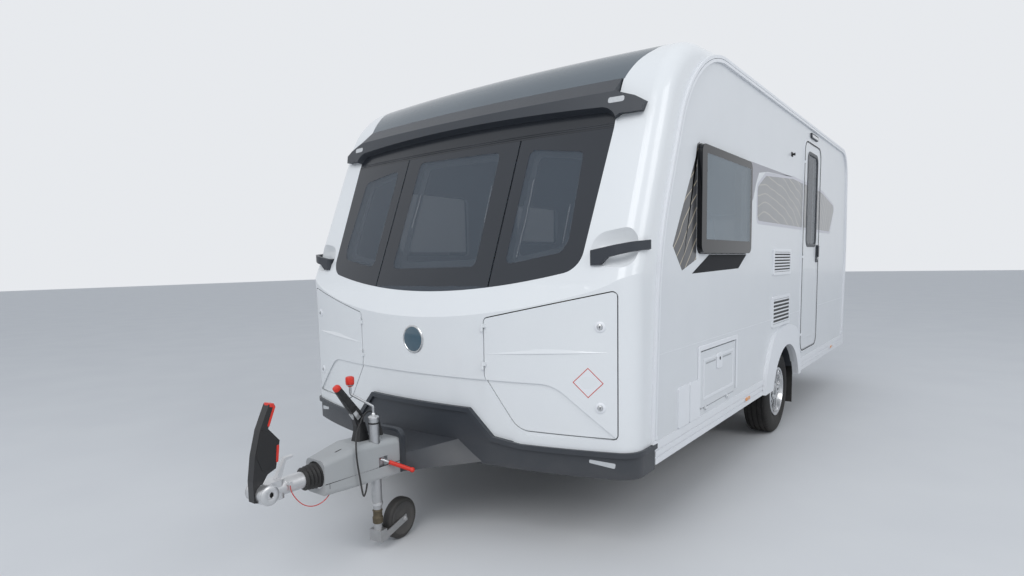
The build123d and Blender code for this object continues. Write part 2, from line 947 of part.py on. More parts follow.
# Chassis.
rail_x = 560
rail_wide = 50
rail_plate = 6
bend_distance = 330
chassis_rear = body_length - 260
cross_distances = (420, 1500, 3700)
with BuildPart() as chassis_rails:
    block(
        (rail_x - rail_wide / 2, along(bend_distance), chassis_bottom),
        (rail_x + rail_wide / 2, along(chassis_rear), floor_bottom),
    )
    block(
        (rail_x - rail_wide / 2, along(bend_distance), chassis_bottom + rail_plate),
        (
            rail_x + rail_wide / 2 - rail_plate,
            along(chassis_rear),
            floor_bottom - rail_plate,
        ),
        mode=Mode.SUBTRACT,
    )
    mirror(about=Plane.YZ)
    cross_reach = rail_x + rail_wide / 2 - rail_plate
    for distance in cross_distances:
        block(
            (-cross_reach, along(distance), chassis_bottom + 20),
            (cross_reach, along(distance + 50), floor_bottom),
        )
chassis_rails.part.label = "chassis_rails"
export_step(chassis_rails.part, "parts/chassis_rails.step")

# Drawbar legs, tapering from the rails to the coupling's tube.
leg_end = -520
leg_front_x = 56
leg_front_wide = 44
leg_front_low = 347
leg_front_high = 420
with BuildPart() as drawbar_legs:
    with BuildSketch(Plane.XZ.offset(-along(bend_distance))):
        with Locations((rail_x, (chassis_bottom + floor_bottom) / 2)):
            Rectangle(rail_wide, floor_bottom - chassis_bottom)
    with BuildSketch(Plane.XZ.offset(-along(leg_end))):
        with Locations((leg_front_x, (leg_front_low + leg_front_high) / 2)):
            Rectangle(leg_front_wide, leg_front_high - leg_front_low)
    loft(ruled=True)
    mirror(about=Plane.YZ)
    block(
        (-tongue_half, along(leg_end - 1), tongue_low),
        (tongue_half, along(tongue_rear), tongue_high),
        Mode.SUBTRACT,
    )
drawbar_legs.part.label = "drawbar_legs"
export_step(drawbar_legs.part, "parts/drawbar_legs.step")

arm_length = 165
axle_tube_radius = 44
axle_tube_height = chassis_bottom - axle_tube_radius
hub_radius = 22
drum_plate_radius = 112
arm_inner = 812
arm_outer = 846
with BuildPart() as axle:
    with Locations(
        Location((0, along(axle_distance - arm_length), axle_tube_height), (0, 90, 0))
    ):
        Cylinder(axle_tube_radius, 2 * arm_inner)
    for side in (-1, 1):
        with BuildSketch(Plane.YZ.offset(side * arm_inner)):
            with BuildLine():
                Polyline(
                    (along(axle_distance - arm_length - 50), axle_tube_height - 30),
                    (along(axle_distance - arm_length - 40), axle_tube_height + 42),
                    (along(axle_distance + 40), tyre_radius + 38),
                    (along(axle_distance + 40), tyre_radius - 38),
                    close=True,
                )
            make_face()
        extrude(amount=side * (arm_outer - arm_inner))
        with BuildSketch(Plane.YZ.offset(side * arm_outer)):
            with Locations((along(axle_distance), tyre_radius)):
                Circle(drum_plate_radius)
        extrude(amount=side * 10)
        with BuildSketch(Plane.YZ.offset(side * (arm_outer + 10))):
            with Locations((along(axle_distance), tyre_radius)):
                Circle(hub_radius)
        extrude(amount=side * (wheel_centre + 42 - arm_outer - 10))
axle.part.label = "axle"
export_step(axle.part, "parts/axle.step")

# Road wheels.
rim_lip = 8
spoke_count = 5
hub_clearance = 0.3
for side, name in ((1, "near"), (-1, "far")):
    with BuildPart() as tyre:
        with BuildSketch(Plane.XZ.offset(-along(axle_distance))) as tread:
            with Locations((side * wheel_centre, tyre_radius + (tyre_radius + rim_radius) / 2)):
                RectangleRounded(tyre_width, tyre_radius - rim_radius, 28)
        revolve(axis=Axis((0, along(axle_distance), tyre_radius), (1, 0, 0)))
    tyre.part.label = f"{name}_tyre"
    export_step(tyre.part, f"parts/{name}_tyre.step")
    with BuildPart() as rim:
        with BuildSketch(Plane.XZ.offset(-along(axle_distance))):
            with BuildLine():
                Polyline(
                    (side * (wheel_centre - 78), tyre_radius + 160),
                    (side * (wheel_centre - 78), tyre_radius + rim_radius - seat_gap),
                    (side * (wheel_centre + 80), tyre_radius + rim_radius - seat_gap),
                    (side * (wheel_centre + 80), tyre_radius + 168),
                    (side * (wheel_centre + 40), tyre_radius + 160),
                    close=True,
                )
            make_face()
        revolve(axis=Axis((0, along(axle_distance), tyre_radius), (1, 0, 0)))
        with BuildSketch(Plane.YZ.offset(side * (wheel_centre + 45))) as spokes:
            with Locations((along(axle_distance), tyre_radius)):
                Circle(62)
                with PolarLocations(0, spoke_count):
                    with Locations((110, 17)):
                        Rectangle(130, 17)
                    with Locations((110, -17)):
                        Rectangle(130, 17)
        extrude(amount=side * 24)
        with BuildSketch(Plane.YZ.offset(side * (wheel_centre - 130))):
            with Locations((along(axle_distance), tyre_radius)):
                Circle(drum_plate_radius - 8)
                Circle(hub_radius + hub_clearance, mode=Mode.SUBTRACT)
        extrude(amount=side * 50)
        with BuildSketch(Plane.YZ.offset(side * (wheel_centre - 80))):
            with Locations((along(axle_distance), tyre_radius)):
                Circle(40)
                Circle(hub_radius + hub_clearance, mode=Mode.SUBTRACT)
        extrude(amount=side * 126)
    rim.part.label = f"{name}_rim"
    export_step(rim.part, f"parts/{name}_rim.step")

# Side windows: an acrylic lid that stands proud of the wall on its frame.
def side_lid(row, side):
    """One hinged window, seen as a tinted lid over the hole in the wall."""
    with BuildPart() as lid:
        add(side_prism(row, side, 0, window_corner, wall_half, lid_stand))
        hollow = lid_stand - lid_face + 1
        add(
            side_prism(row, side, -frame_overlap, window_corner, wall_half - 1, hollow),
            mode=Mode.SUBTRACT,
        )
    return lid.part


with BuildPart() as side_windows:
    add(side_lid(lounge_window, 1))
    for row in window_rows:
        add(side_lid(row, -1))
side_windows.part.label = "side_windows"
export_step(side_windows.part, "parts/side_windows.step")

# Entrance door in its frame.
door_frame_width = 18
door_frame_stand = 8
door_panel_stand = 6
door_window = (3010, 3365, 1440, 2170)
door_hinge_x = wall_half + 14
door_hinge_planes = [
    Plane(
        (door_hinge_x, along(door_opening[0] + 1), height),
        x_dir=(1, 0, 0),
        z_dir=(0, 0, 1),
    )
    for height in (700, 1330, 2080)
]
door_hinge_seat = 14
with BuildPart() as door_frame:
    add(side_prism(door_opening, 1, door_frame_width, door_corner, wall_half, door_frame_stand))
    add(
        side_prism(door_opening, 1, 0, door_corner, wall_half - 10, door_frame_stand + 20),
        mode=Mode.SUBTRACT,
    )
    for plane in door_hinge_planes:
        add(hinge_fixed(plane, door_hinge_seat))
door_frame.part.label = "door_frame"
export_step(door_frame.part, "parts/door_frame.step")

with BuildPart() as door_panel:
    add(
        side_prism(
            door_opening, 1, -door_gap, door_corner, wall_face, wall_thickness + door_panel_stand
        )
    )
    add(side_prism(door_window, 1, 0, 50), mode=Mode.SUBTRACT)
    for plane in door_hinge_planes:
        add(hinge_moving(plane, door_hinge_seat - 6))
door_panel.part.label = "door_panel"
export_step(door_panel.part, "parts/door_panel.step")

with BuildPart() as door_glass:
    add(side_prism(door_window, 1, -seat_gap, 50, wall_half - 4, 8))
door_glass.part.label = "door_window"
export_step(door_glass.part, "parts/door_window.step")

handle_plate = 9
handle_distance = door_opening[1] - 65
handle_height = 1365
with BuildPart() as door_handle:
    with BuildSketch(Plane.YZ.offset(wall_half + door_panel_stand)):
        with Locations((along(handle_distance), handle_height)):
            RectangleRounded(70, 150, 18)
    extrude(amount=handle_plate)
    with BuildSketch(Plane.YZ.offset(wall_half + door_panel_stand + handle_plate)):
        with Locations((along(handle_distance), handle_height + 20)):
            RectangleRounded(34, 96, 12)
    extrude(amount=lid_stand - door_panel_stand - handle_plate)
door_handle.part.label = "door_handle"
export_step(door_handle.part, "parts/door_handle.step")

# Locker lids in the walls, with a box behind each one.
box_depth = 330
box_plate = 4
locker_sides = ((battery_opening, 1, "battery_lid"), (service_opening, -1, "service_door"))
with BuildPart() as locker_box_space:
    for row, side, node in locker_sides:
        add(side_prism(row, side, box_plate, 8, wall_face - box_depth, box_depth))

with BuildPart() as locker_boxes:
    add(locker_box_space.part)
    for row, side, node in locker_sides:
        add(
            side_prism(row, side, 0, 4, wall_face - box_depth + box_plate, box_depth),
            mode=Mode.SUBTRACT,
        )
locker_boxes.part.label = "locker_boxes"
export_step(locker_boxes.part, "parts/locker_boxes.step")

for row, side, node in locker_sides:
    with BuildPart() as locker_lid:
        add(side_prism(row, side, -door_gap, locker_corner, wall_face, wall_thickness + 2))
        for plane in lid_hinge_planes(row, side):
            add(hinge_moving(plane, lid_hinge_seat - 2))
    locker_lid.part.label = node
    export_step(locker_lid.part, f"parts/{node}.step")

# Vents, hatches and handles on the body.
vent_rows = ((2015, 2510, 1212, 1398), (2015, 2510, 842, 1062))
hatch_rows = ((322, 464, 508, 710), (472, 612, 508, 710))
vent_stand = 9
with BuildPart() as wall_vents:
    for row in vent_rows:
        add(side_prism(row, 1, 0, 12, wall_half, vent_stand))
        add(side_prism(row, 1, -22, 26, wall_half + 3, vent_stand), mode=Mode.SUBTRACT)
        for step in range(7):
            height = row[2] + 30 + step * (row[3] - row[2] - 60) / 6
            block(
                (wall_half, along(row[0] + 20), height - 5),
                (wall_half + vent_stand - 1, along(row[1] - 20), height + 5),
            )
wall_vents.part.label = "wall_vents"
export_step(wall_vents.part, "parts/wall_vents.step")

with BuildPart() as service_hatches:
    for row in hatch_rows:
        add(side_prism(row, 1, 0, 10, wall_half, 7))
service_hatches.part.label = "service_hatches"
export_step(service_hatches.part, "parts/service_hatches.step")

# Hitch.
tube_front = -955
shaft_radius = 25
disc_distance = -1217
disc_radius = 42
disc_span = (20, 58)
disc_hole_radius = 13
ball_distance = -1203
ball_radius = 25.5
ball_depth = 64
head_half = 34
head_bottom = hitch_height - 40
head_top = hitch_height + 40
head_front = -1237
head_back = -1130
neck_radius = 36
neck_rear = -1036

# Routes of the supply lead and the breakaway cable, as x, distance and height.
# Each starts and ends on a clip: the cover's gland, the coupling and the tube.
lead_diameter = 8
lead_route = [
    (26, -612, 531), (26, -612, 568), (26, -622, 612), (26, -644, 648), (26, -676, 662),
    (29, -708, 650), (38, -738, 622), (54, -770, 590), (76, -798, 560), (96, -816, 522),
    (104, -820, 474), (105, -814, 424), (105, -806, 374), (102, -798, 328),
    (92, -784, 296), (76, -764, 288), (64, -744, 304), (60, -733, 335), (60, -731, 368),
    (60, -731, 395),
]
cable_diameter = 4
cable_route = [
    (44, -1118, 442), (44, -1118, 426), (47, -1113, 404), (50, -1097, 374),
    (52, -1070, 342), (53, -1034, 322), (51, -998, 316), (49, -964, 322),
    (46, -934, 338), (44, -914, 362), (44, -908, 380), (44, -908, 393),
]
clip_reach = 8


def clip(route_end, radius_reach, drop):
    """A clip between the tube's side and the end of a route, above that end."""
    x, distance, height = route_end
    return block(
        (radius_reach, along(distance - clip_reach), height),
        (x + clip_reach, along(distance + clip_reach), height + drop),
    )


with BuildPart() as drawbar:
    with BuildSketch(Plane.XZ.offset(-along(tube_front))):
        with Locations((0, hitch_height)):
            Circle(tube_radius)
    extrude(amount=tube_front - tube_rear)
    with BuildSketch(Plane.XZ.offset(-along(tube_front))):
        with Locations((0, hitch_height)):
            Circle(shaft_radius)
    extrude(amount=tube_front - neck_rear)
    block(
        (-tongue_half, along(tube_rear - 10), tongue_low),
        (tongue_half, along(tongue_rear), tongue_high),
    )
    clip(lead_route[-1], tube_radius - 10, 30)
    clip(cable_route[-1], tube_radius - 10, 30)
drawbar.part.label = "drawbar"
export_step(drawbar.part, "parts/drawbar.step")

# The gaiter round the shaft, as radii of its folds from front to back.
gaiter_span = (-1036, -950)
gaiter_radii = (40, 50, 42, 52, 44, 54, 46, 56, 48, 57, 50)
with BuildPart() as gaiter:
    with BuildSketch(Plane.YZ):
        with BuildLine():
            pitch = (gaiter_span[1] - gaiter_span[0]) / (len(gaiter_radii) - 1)
            Polyline(
                *(
                    (along(gaiter_span[0] + fold * pitch), hitch_height + radius)
                    for fold, radius in enumerate(gaiter_radii)
                ),
                (along(gaiter_span[1]), hitch_height + tube_radius + seat_gap),
                (along(tube_front) - seat_gap, hitch_height + tube_radius + seat_gap),
                (along(tube_front) - seat_gap, hitch_height + shaft_radius + seat_gap),
                (along(gaiter_span[0]), hitch_height + shaft_radius + seat_gap),
                close=True,
            )
        make_face()
    revolve(axis=Axis((0, along(0), hitch_height), (0, 1, 0)))
gaiter.part.label = "gaiter"
export_step(gaiter.part, "parts/gaiter.step")

# The coupling: a casting over the ball, with a friction disc on either side.
# The ball's space starts below the discs, so that the ball can go up into it.
ball_entry = hitch_height - disc_radius - 2
with BuildPart() as ball_space:
    with BuildSketch(Plane.XY.offset(ball_entry)):
        with Locations((0, along(ball_distance))):
            Circle(ball_radius)
    extrude(amount=head_bottom + ball_depth - ball_entry)

with BuildPart() as coupling_head:
    block(
        (-head_half, along(head_front), head_bottom),
        (head_half, along(head_back), head_top),
    )
    fillet(coupling_head.edges().filter_by(Axis.Z), 24)
    with BuildSketch(Plane.XZ.offset(-along(neck_rear))):
        with Locations((0, hitch_height)):
            Circle(neck_radius)
    extrude(amount=neck_rear - head_back + 40)
    for side in (-1, 1):
        with BuildSketch(Plane.YZ.offset(side * disc_span[0])):
            with Locations((along(disc_distance), hitch_height)):
                Circle(disc_radius)
        extrude(amount=side * (disc_span[1] - disc_span[0]))
        with BuildSketch(Plane.YZ.offset(side * (head_half + 4))):
            with Locations((along(disc_distance + 10), hitch_height)):
                Circle(disc_hole_radius)
        extrude(amount=side * 60, mode=Mode.SUBTRACT)
    clip(cable_route[0], neck_radius - 12, 14)
    add(ball_space.part, mode=Mode.SUBTRACT)
coupling_head.part.label = "coupling_head"
export_step(coupling_head.part, "parts/coupling_head.step")

handle_outline = [
    (-hitch_reach, 404), (-1236, 397), (-1226, 470), (-1200, 505), (-1162, 520),
    (-1138, 632), (-1186, 690), (-1150, 780), (-1176, 788), (-1222, 690),
    (-1250, 590), (-hitch_reach, 490),
]
with BuildPart() as stabiliser_handle:
    with BuildSketch(Plane.YZ.offset(-disc_span[0])):
        with BuildLine():
            Polyline(*((along(d), z) for d, z in handle_outline), close=True)
        make_face()
    extrude(amount=2 * disc_span[0])
    add(coupling_head.part, mode=Mode.SUBTRACT)
    add(ball_space.part, mode=Mode.SUBTRACT)
stabiliser_handle.part.label = "stabiliser_handle"
export_step(stabiliser_handle.part, "parts/stabiliser_handle.step")

# The cover over the tube: distance, half width, bottom and top of each section.
cover_sections = [(-965, 66, 340, 500), (-790, 88, 334, 530), (-560, 104, 326, 517)]
cover_plate = 4
cover_bottom = 346
cover_corner = 28
jockey_x = 64
jockey_distance = -683
jockey_tube_radius = 24
handbrake_slot = (-752, -690)
lever_root = (86, -672, 438)
lever_end = (170, -552, 368)
with BuildPart() as hitch_cover:
    for inset, mode in ((0, Mode.ADD), (cover_plate, Mode.SUBTRACT)):
        for distance, half, low, high in cover_sections:
            start = inset if distance == cover_sections[0][0] else 0
            with BuildSketch(Plane.XZ.offset(-along(distance + start))):
                with Locations((0, (low + high) / 2)):
                    RectangleRounded(
                        2 * (half - inset), high - low - 2 * inset, cover_corner - inset
                    )
        loft(ruled=True, mode=mode)
    block((-300, along(-1200), 0), (300, along(0), cover_bottom), mode=Mode.SUBTRACT)
    with Locations(Location((0, along(cover_sections[0][0]), hitch_height), (90, 0, 0))):
        Cylinder(gaiter_radii[-2] + 4, 60, mode=Mode.SUBTRACT)
    with Locations((jockey_x, along(jockey_distance), hitch_height)):
        Cylinder(jockey_tube_radius + 2, 400, mode=Mode.SUBTRACT)
    block(
        (60, along(lever_root[1] - 16), lever_root[2] - 36),
        (130, along(lever_root[1] + 34), lever_root[2] + 12),
        Mode.SUBTRACT,
    )
    block(
        (-18, along(handbrake_slot[0]), hitch_height + 60),
        (18, along(handbrake_slot[1]), hitch_height + 300),
        mode=Mode.SUBTRACT,
    )
    with Locations((lead_route[0][0], along(lead_route[0][1]), lead_route[0][2])):
        Cylinder(
            lead_diameter,
            lead_route[0][2] - cover_sections[-1][3] + cover_plate / 2,
            align=(Align.CENTER, Align.CENTER, Align.MAX),
        )
hitch_cover.part.label = "hitch_cover"
export_step(hitch_cover.part, "parts/hitch_cover.step")

# Handbrake: a lever on the tube with its grip, and a boot over the cover's slot.
handbrake_half = 13
handbrake_outline = [
    (-744, hitch_height + 20), (-702, hitch_height + 20), (-700, 630), (-712, 664),
    (-822, 800), (-846, 788), (-756, 650), (-742, 600),
]
boot_sections = [(505, 88, 62), (612, 46, 34)]
boot_distance = -712
with BuildPart() as handbrake:
    for height, length, width in boot_sections:
        with BuildSketch(Plane.XY.offset(height)):
            with Locations((0, along(boot_distance))):
                RectangleRounded(width, length, 14)
    loft()
    add(hitch_cover.part, mode=Mode.SUBTRACT)
    with BuildSketch(Plane.YZ.offset(-handbrake_half)):
        with BuildLine():
            Polyline(*((along(d), z) for d, z in handbrake_outline), close=True)
        make_face()
    extrude(amount=2 * handbrake_half)
    add(drawbar.part, mode=Mode.SUBTRACT)
handbrake.part.label = "handbrake"
export_step(handbrake.part, "parts/handbrake.step")

def bend_radii(points):
    """For each corner of a route, an arc as large as its two runs allow."""
    radii = []
    for before, corner, after in zip(points, points[1:], points[2:]):
        turn = radians((corner - before).get_angle(after - corner))
        shorter = min((corner - before).length, (after - corner).length)
        radii.append(0.45 * shorter / (sin(turn / 2) / cos(turn / 2)))
    return radii


for name, route, diameter in (
    ("supply_lead", lead_route, lead_diameter),
    ("breakaway_cable", cable_route, cable_diameter),
):
    points = [Vector(x, along(d), z) for x, d, z in route]
    radii = bend_radii(points)
    print(name, "bend radii", [round(r) for r in radii])
    with BuildPart() as cord:
        with BuildLine() as centre_line:
            FilletPolyline(*points, radius=radii)
        with BuildSketch(Plane(points[0], z_dir=points[1] - points[0])):
            Circle(diameter / 2)
        sweep()
    cord_volume = centre_line.wires()[0].length * 3.14159 * diameter**2 / 4
    print(name, "length", round(centre_line.wires()[0].length), "volume ratio",
          round(cord.part.volume / cord_volume, 4))
    cord.part.label = name
    export_step(cord.part, f"parts/{name}.step")

# Jockey wheel.
jockey_top = 638
jockey_tube_end = 216
jockey_stem_radius = 20
jockey_wheel_radius = 100
jockey_wheel_width = 50
jockey_trail = 150
caster_turn = 6
fork_plate = 5
with BuildPart() as jockey_tube:
    with BuildSketch(Plane.XY.offset(jockey_tube_end)):
        with Locations((jockey_x, along(jockey_distance))):
            Circle(jockey_tube_radius)
            Circle(jockey_tube_radius - 3, mode=Mode.SUBTRACT)
    extrude(amount=jockey_top - jockey_tube_end)
    with BuildSketch(Plane.XY.offset(jockey_top - 6)):
        with Locations((jockey_x, along(jockey_distance))):
            Circle(jockey_tube_radius)
    extrude(amount=6)
    block(
        (jockey_x - jockey_tube_radius - 4, along(jockey_distance - 34), hitch_height - 40),
        (jockey_x + jockey_tube_radius - 2, along(jockey_distance + 34), hitch_height + 20),
    )
    with BuildSketch(Plane.XY.offset(hitch_height - 60)):
        with Locations((jockey_x, along(jockey_distance))):
            Circle(jockey_tube_radius - 3)
    extrude(amount=120, mode=Mode.SUBTRACT)
    add(drawbar.part, mode=Mode.SUBTRACT)
jockey_tube.part.label = "jockey_tube"
export_step(jockey_tube.part, "parts/jockey_tube.step")

crank_reach = 70
with BuildPart() as jockey_crank:
    with BuildLine() as crank_path:
        FilletPolyline(
            (jockey_x, along(jockey_distance), jockey_top + seat_gap),
            (jockey_x, along(jockey_distance), jockey_top + 50),
            (jockey_x - crank_reach, along(jockey_distance - crank_reach), jockey_top + 112),
            (jockey_x - crank_reach, along(jockey_distance - crank_reach), jockey_top + 150),
            radius=[12, 12],
        )
    with BuildSketch(Plane.XY.offset(jockey_top + seat_gap)):
        with Locations((jockey_x, along(jockey_distance))):
            Circle(6)
    sweep()
    with Locations(
        (jockey_x - crank_reach, along(jockey_distance - crank_reach), jockey_top + 172)
    ):
        Cylinder(18, 44)
    fillet(jockey_crank.edges().filter_by(GeomType.CIRCLE).group_by(SortBy.RADIUS)[-1], 10)
jockey_crank.part.label = "jockey_crank"
export_step(jockey_crank.part, "parts/jockey_crank.step")

caster = Plane(
    (jockey_x, along(jockey_distance), 0),
    x_dir=(cos(radians(caster_turn)), sin(radians(caster_turn)), 0),
    z_dir=(0, 0, 1),
)
fork_low = 46
fork_high = 100
fork_inner = jockey_wheel_width / 2 + 5
jockey_pin_radius = 8
with BuildPart(caster) as jockey_fork:
    with Locations((0, 0, fork_low)):
        Cylinder(
            jockey_stem_radius,
            jockey_tube_end + 150 - fork_low,
            align=(Align.CENTER, Align.CENTER, Align.MIN),
        )
    with Locations((0, 0, (fork_low + fork_high) / 2)):
        Box(2 * (fork_inner + fork_plate), 2 * jockey_stem_radius + 4, fork_high - fork_low)
    fork_slope = degrees(atan2(jockey_wheel_radius - fork_low - 16, jockey_trail))
    for side in (-1, 1):
        with Locations(
            Location(
                (
                    side * (fork_inner + fork_plate / 2),
                    jockey_trail / 2,
                    (jockey_wheel_radius + fork_low + 16) / 2,
                ),
                (fork_slope, 0, 0),
            )
        ):
            Box(fork_plate, jockey_trail + 36, 34)
    with Locations(Location((0, jockey_trail, jockey_wheel_radius), (0, 90, 0))):
        Cylinder(jockey_pin_radius, 2 * fork_inner + 1)
jockey_fork.part.label = "jockey_fork"
export_step(jockey_fork.part, "parts/jockey_fork.step")

with BuildPart(caster) as jockey_wheel:
    with Locations(Location((0, jockey_trail, jockey_wheel_radius), (0, 90, 0))):
        Cylinder(jockey_wheel_radius, jockey_wheel_width)
        fillet(
            jockey_wheel.edges()
            .filter_by(GeomType.CIRCLE)
            .group_by(SortBy.RADIUS)[-1],
            14,
        )
        Cylinder(jockey_pin_radius + seat_gap, jockey_wheel_width + 2, mode=Mode.SUBTRACT)
jockey_wheel.part.label = "jockey_wheel"
export_step(jockey_wheel.part, "parts/jockey_wheel.step")

# Levers of the coupling and of the jockey wheel's clamp.
coupling_lever_outline = [
    (-1163, head_top - 4), (-1112, 549), (-1073, 551), (-1080, 541), (-1107, 538),
    (-1138, head_top - 4),
]
with BuildPart() as coupling_lever:
    with BuildSketch(Plane.YZ.offset(-11)):
        with BuildLine():
            Polyline(*((along(d), z) for d, z in coupling_lever_outline), close=True)
        make_face()
    extrude(amount=22)
    add(coupling_head.part, mode=Mode.SUBTRACT)
coupling_lever.part.label = "coupling_lever"
export_step(coupling_lever.part, "parts/coupling_lever.step")

lever_vector = Vector(*(b - a for a, b in zip(lever_root, lever_end)))
lever_plane = Plane(
    (lever_root[0], along(lever_root[1]), lever_root[2]), z_dir=lever_vector
)
lever_bare = 45
with BuildPart() as clamp_lever:
    with BuildSketch(lever_plane):
        Circle(5)
    extrude(amount=lever_vector.length)
    with BuildSketch(lever_plane.offset(lever_bare)):
        Circle(10)
    extrude(amount=lever_vector.length - lever_bare)
    with Locations(lever_plane.offset(lever_vector.length).location):
        Sphere(12.5)
    add(jockey_tube.part, mode=Mode.SUBTRACT)
clamp_lever.part.label = "clamp_lever"
export_step(clamp_lever.part, "parts/clamp_lever.step")

# Fairing between the hitch cover and the front bumper: cross-sections as
# distance, half width at the top and the bottom, height of the top and bottom.
fairing_sections = ((-548, 108, 112, 436, 350), (-315, 296, 424, 490, 392))
fairing_plate = 5
collar = (-567, -540)


def fairing_loft(inset, overrun):
    """The fairing's outer or inner form, run past its ends by the overrun."""
    ends = []
    for distance, high_half, low_half, high, low in fairing_sections:
        with BuildSketch(Plane.XZ.offset(-along(distance))) as section:
            with BuildLine():
                Polyline(
                    (-low_half + inset, low - overrun),
                    (-high_half + inset, high - inset),
                    (high_half - inset, high - inset),
                    (low_half - inset, low - overrun),
                    close=True,
                )
            make_face()
        ends.append(section.sketch)
    return loft(ends, ruled=True)


with BuildPart() as hitch_fairing:
    add(fairing_loft(0, 0))
    add(fairing_loft(fairing_plate, 30), mode=Mode.SUBTRACT)
    with BuildSketch(Plane.XZ.offset(-along(collar[0]))):
        with Locations((0, hitch_height + 14)):
            RectangleRounded(232, 228, 42)
            RectangleRounded(204, 200, 28, mode=Mode.SUBTRACT)
    extrude(amount=collar[0] - collar[1])
    block((-300, along(-600), 0), (300, along(0), fairing_sections[0][4]), mode=Mode.SUBTRACT)
    add(hitch_cover.part, mode=Mode.SUBTRACT)
    add(outer_form, mode=Mode.SUBTRACT)
hitch_fairing.part.label = "hitch_fairing"
export_step(hitch_fairing.part, "parts/hitch_fairing.step")

# Corner steadies, wound up under the floor, and flaps behind the road wheels.
steady_length = 560
steady_x = (692, 748)
steady_depth = 44
steady_plate = 5
with BuildPart() as corner_steadies:
    for distance in (300, body_length - 900):
        for side in (-1, 1):
            side_block(
                side,
                steady_x,
                (distance, distance + steady_length),
                (floor_bottom - steady_depth, floor_bottom),
            )
            side_block(
                side,
                (steady_x[0] + steady_plate, steady_x[1] - steady_plate),
                (distance + 30, distance + steady_length - 30),
                (floor_bottom - steady_depth - 1, floor_bottom - steady_plate),
                Mode.SUBTRACT,
            )
corner_steadies.part.label = "corner_steadies"
export_step(corner_steadies.part, "parts/corner_steadies.step")

flap_distance = axle_distance + 430
flap_low = 150
with BuildPart() as mudflaps:
    for side in (-1, 1):
        side_block(
            side,
            (wheel_centre - 85, wheel_centre + 95),
            (flap_distance, flap_distance + 6),
            (flap_low, floor_bottom),
        )
mudflaps.part.label = "mudflaps"
export_step(mudflaps.part, "parts/mudflaps.step")

# Grab handles over the scoops: their plan, cut to their outline from the front.
grab_span = (1310, 1430)
grab_outer = [(925, -100), (912, -168), (1040, -160), (1105, -122), (1146, -30), (1112, 0)]
grab_inner = [(945, -100), (938, -142), (1036, -138), (1092, -106), (1124, -34), (1102, -14)]
grab_outline = [
    (880, 1316), (965, 1318), (1000, 1350), (1160, 1386), (1160, 1424), (900, 1378),
    (880, 1370),
]
with BuildPart() as grab_handles:
    with BuildSketch(Plane.XY.offset(grab_span[0])):
        with BuildLine():
            outer_grip = FilletPolyline(
                *((x, along(d)) for x, d in grab_outer), radius=[14, 90, 60, 14]
            )
            inner_grip = FilletPolyline(
                *((x, along(d)) for x, d in grab_inner), radius=[8, 80, 50, 10]
            )
            Line(outer_grip @ 0, inner_grip @ 0)
            Line(outer_grip @ 1, inner_grip @ 1)
        make_face()
    extrude(amount=grab_span[1] - grab_span[0])
    add(front_prism(grab_outline, []), mode=Mode.INTERSECT)
    mirror(about=Plane.YZ)
    add(front_moulding.part, mode=Mode.SUBTRACT)
    add(inner_form, mode=Mode.SUBTRACT)
grab_handles.part.label = "grab_handles"
export_step(grab_handles.part, "parts/grab_handles.step")

# Cabin fittings that show through the windows.
bulkhead_distance = 100
shelf_height = 1150
board = 18
with BuildPart() as gas_locker:
    block(
        (-wall_face, along(bulkhead_distance), floor_top),
        (wall_face, along(bulkhead_distance + board), shelf_height + board),
    )
    block(
        (-wall_face, along(nose), shelf_height),
        (wall_face, along(bulkhead_distance + 1), shelf_height + board),
    )
    add(inner_form, mode=Mode.INTERSECT)
gas_locker.part.label = "gas_locker"
export_step(gas_locker.part, "parts/gas_locker.step")

settee_span = (180, 1900)
settee_inner = 455
settee_height = 900
with BuildPart() as settee_bases:
    for side in (-1, 1):
        side_block(
            side, (settee_inner, wall_face), settee_span, (floor_top, settee_height)
        )
    add(locker_box_space.part, mode=Mode.SUBTRACT)
settee_bases.part.label = "settee_bases"
export_step(settee_bases.part, "parts/settee_bases.step")

cushion_span = (184, 1896)
seat_thickness = 120
back_thickness = 120
back_height = 1320
with BuildPart() as settee_cushions:
    for side in (-1, 1):
        side_block(
            side,
            (settee_inner - 20, wall_face - back_thickness - 1),
            cushion_span,
            (settee_height, settee_height + seat_thickness),
        )
        side_block(
            side,
            (wall_face - back_thickness, wall_face),
            cushion_span,
            (settee_height, back_height),
        )
    fillet(settee_cushions.edges(), 28)
settee_cushions.part.label = "settee_cushions"
export_step(settee_cushions.part, "parts/settee_cushions.step")

kitchen_span = (1960, 2800)
far_unit_span = (1960, 3560)
unit_inner = 560
unit_height = 1400
partition_span = (3620, 3645)
doorway_top = roof_height - 135
with BuildPart() as furniture:
    side_block(1, (unit_inner, wall_face), kitchen_span, (floor_top, unit_height))
    side_block(-1, (unit_inner, wall_face), far_unit_span, (floor_top, unit_height))
    block(
        (-wall_face, along(partition_span[0]), floor_top),
        (wall_face, along(partition_span[1]), roof_height),
    )
    block(
        (-260, along(partition_span[0] - 1), floor_top - 1),
        (360, along(partition_span[1] + 1), doorway_top),
        mode=Mode.SUBTRACT,
    )
    add(inner_form, mode=Mode.INTERSECT)
    add(wheel_wells.part, mode=Mode.SUBTRACT)
furniture.part.label = "furniture"
export_step(furniture.part, "parts/furniture.step")
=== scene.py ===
# %% [markdown]
# A touring caravan parked on its road wheels and its jockey wheel. The solid
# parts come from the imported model; this lesson gives them their finishes and
# adds the small fittings, seals, lamps and cables that a solid model leaves out.
# All lengths are metres. +Z is up, -Y is the towing end and +X is the side with
# the entrance door.

# %% Load the solid parts
import math

import bmesh
import bpy
from mathutils import Matrix, Vector


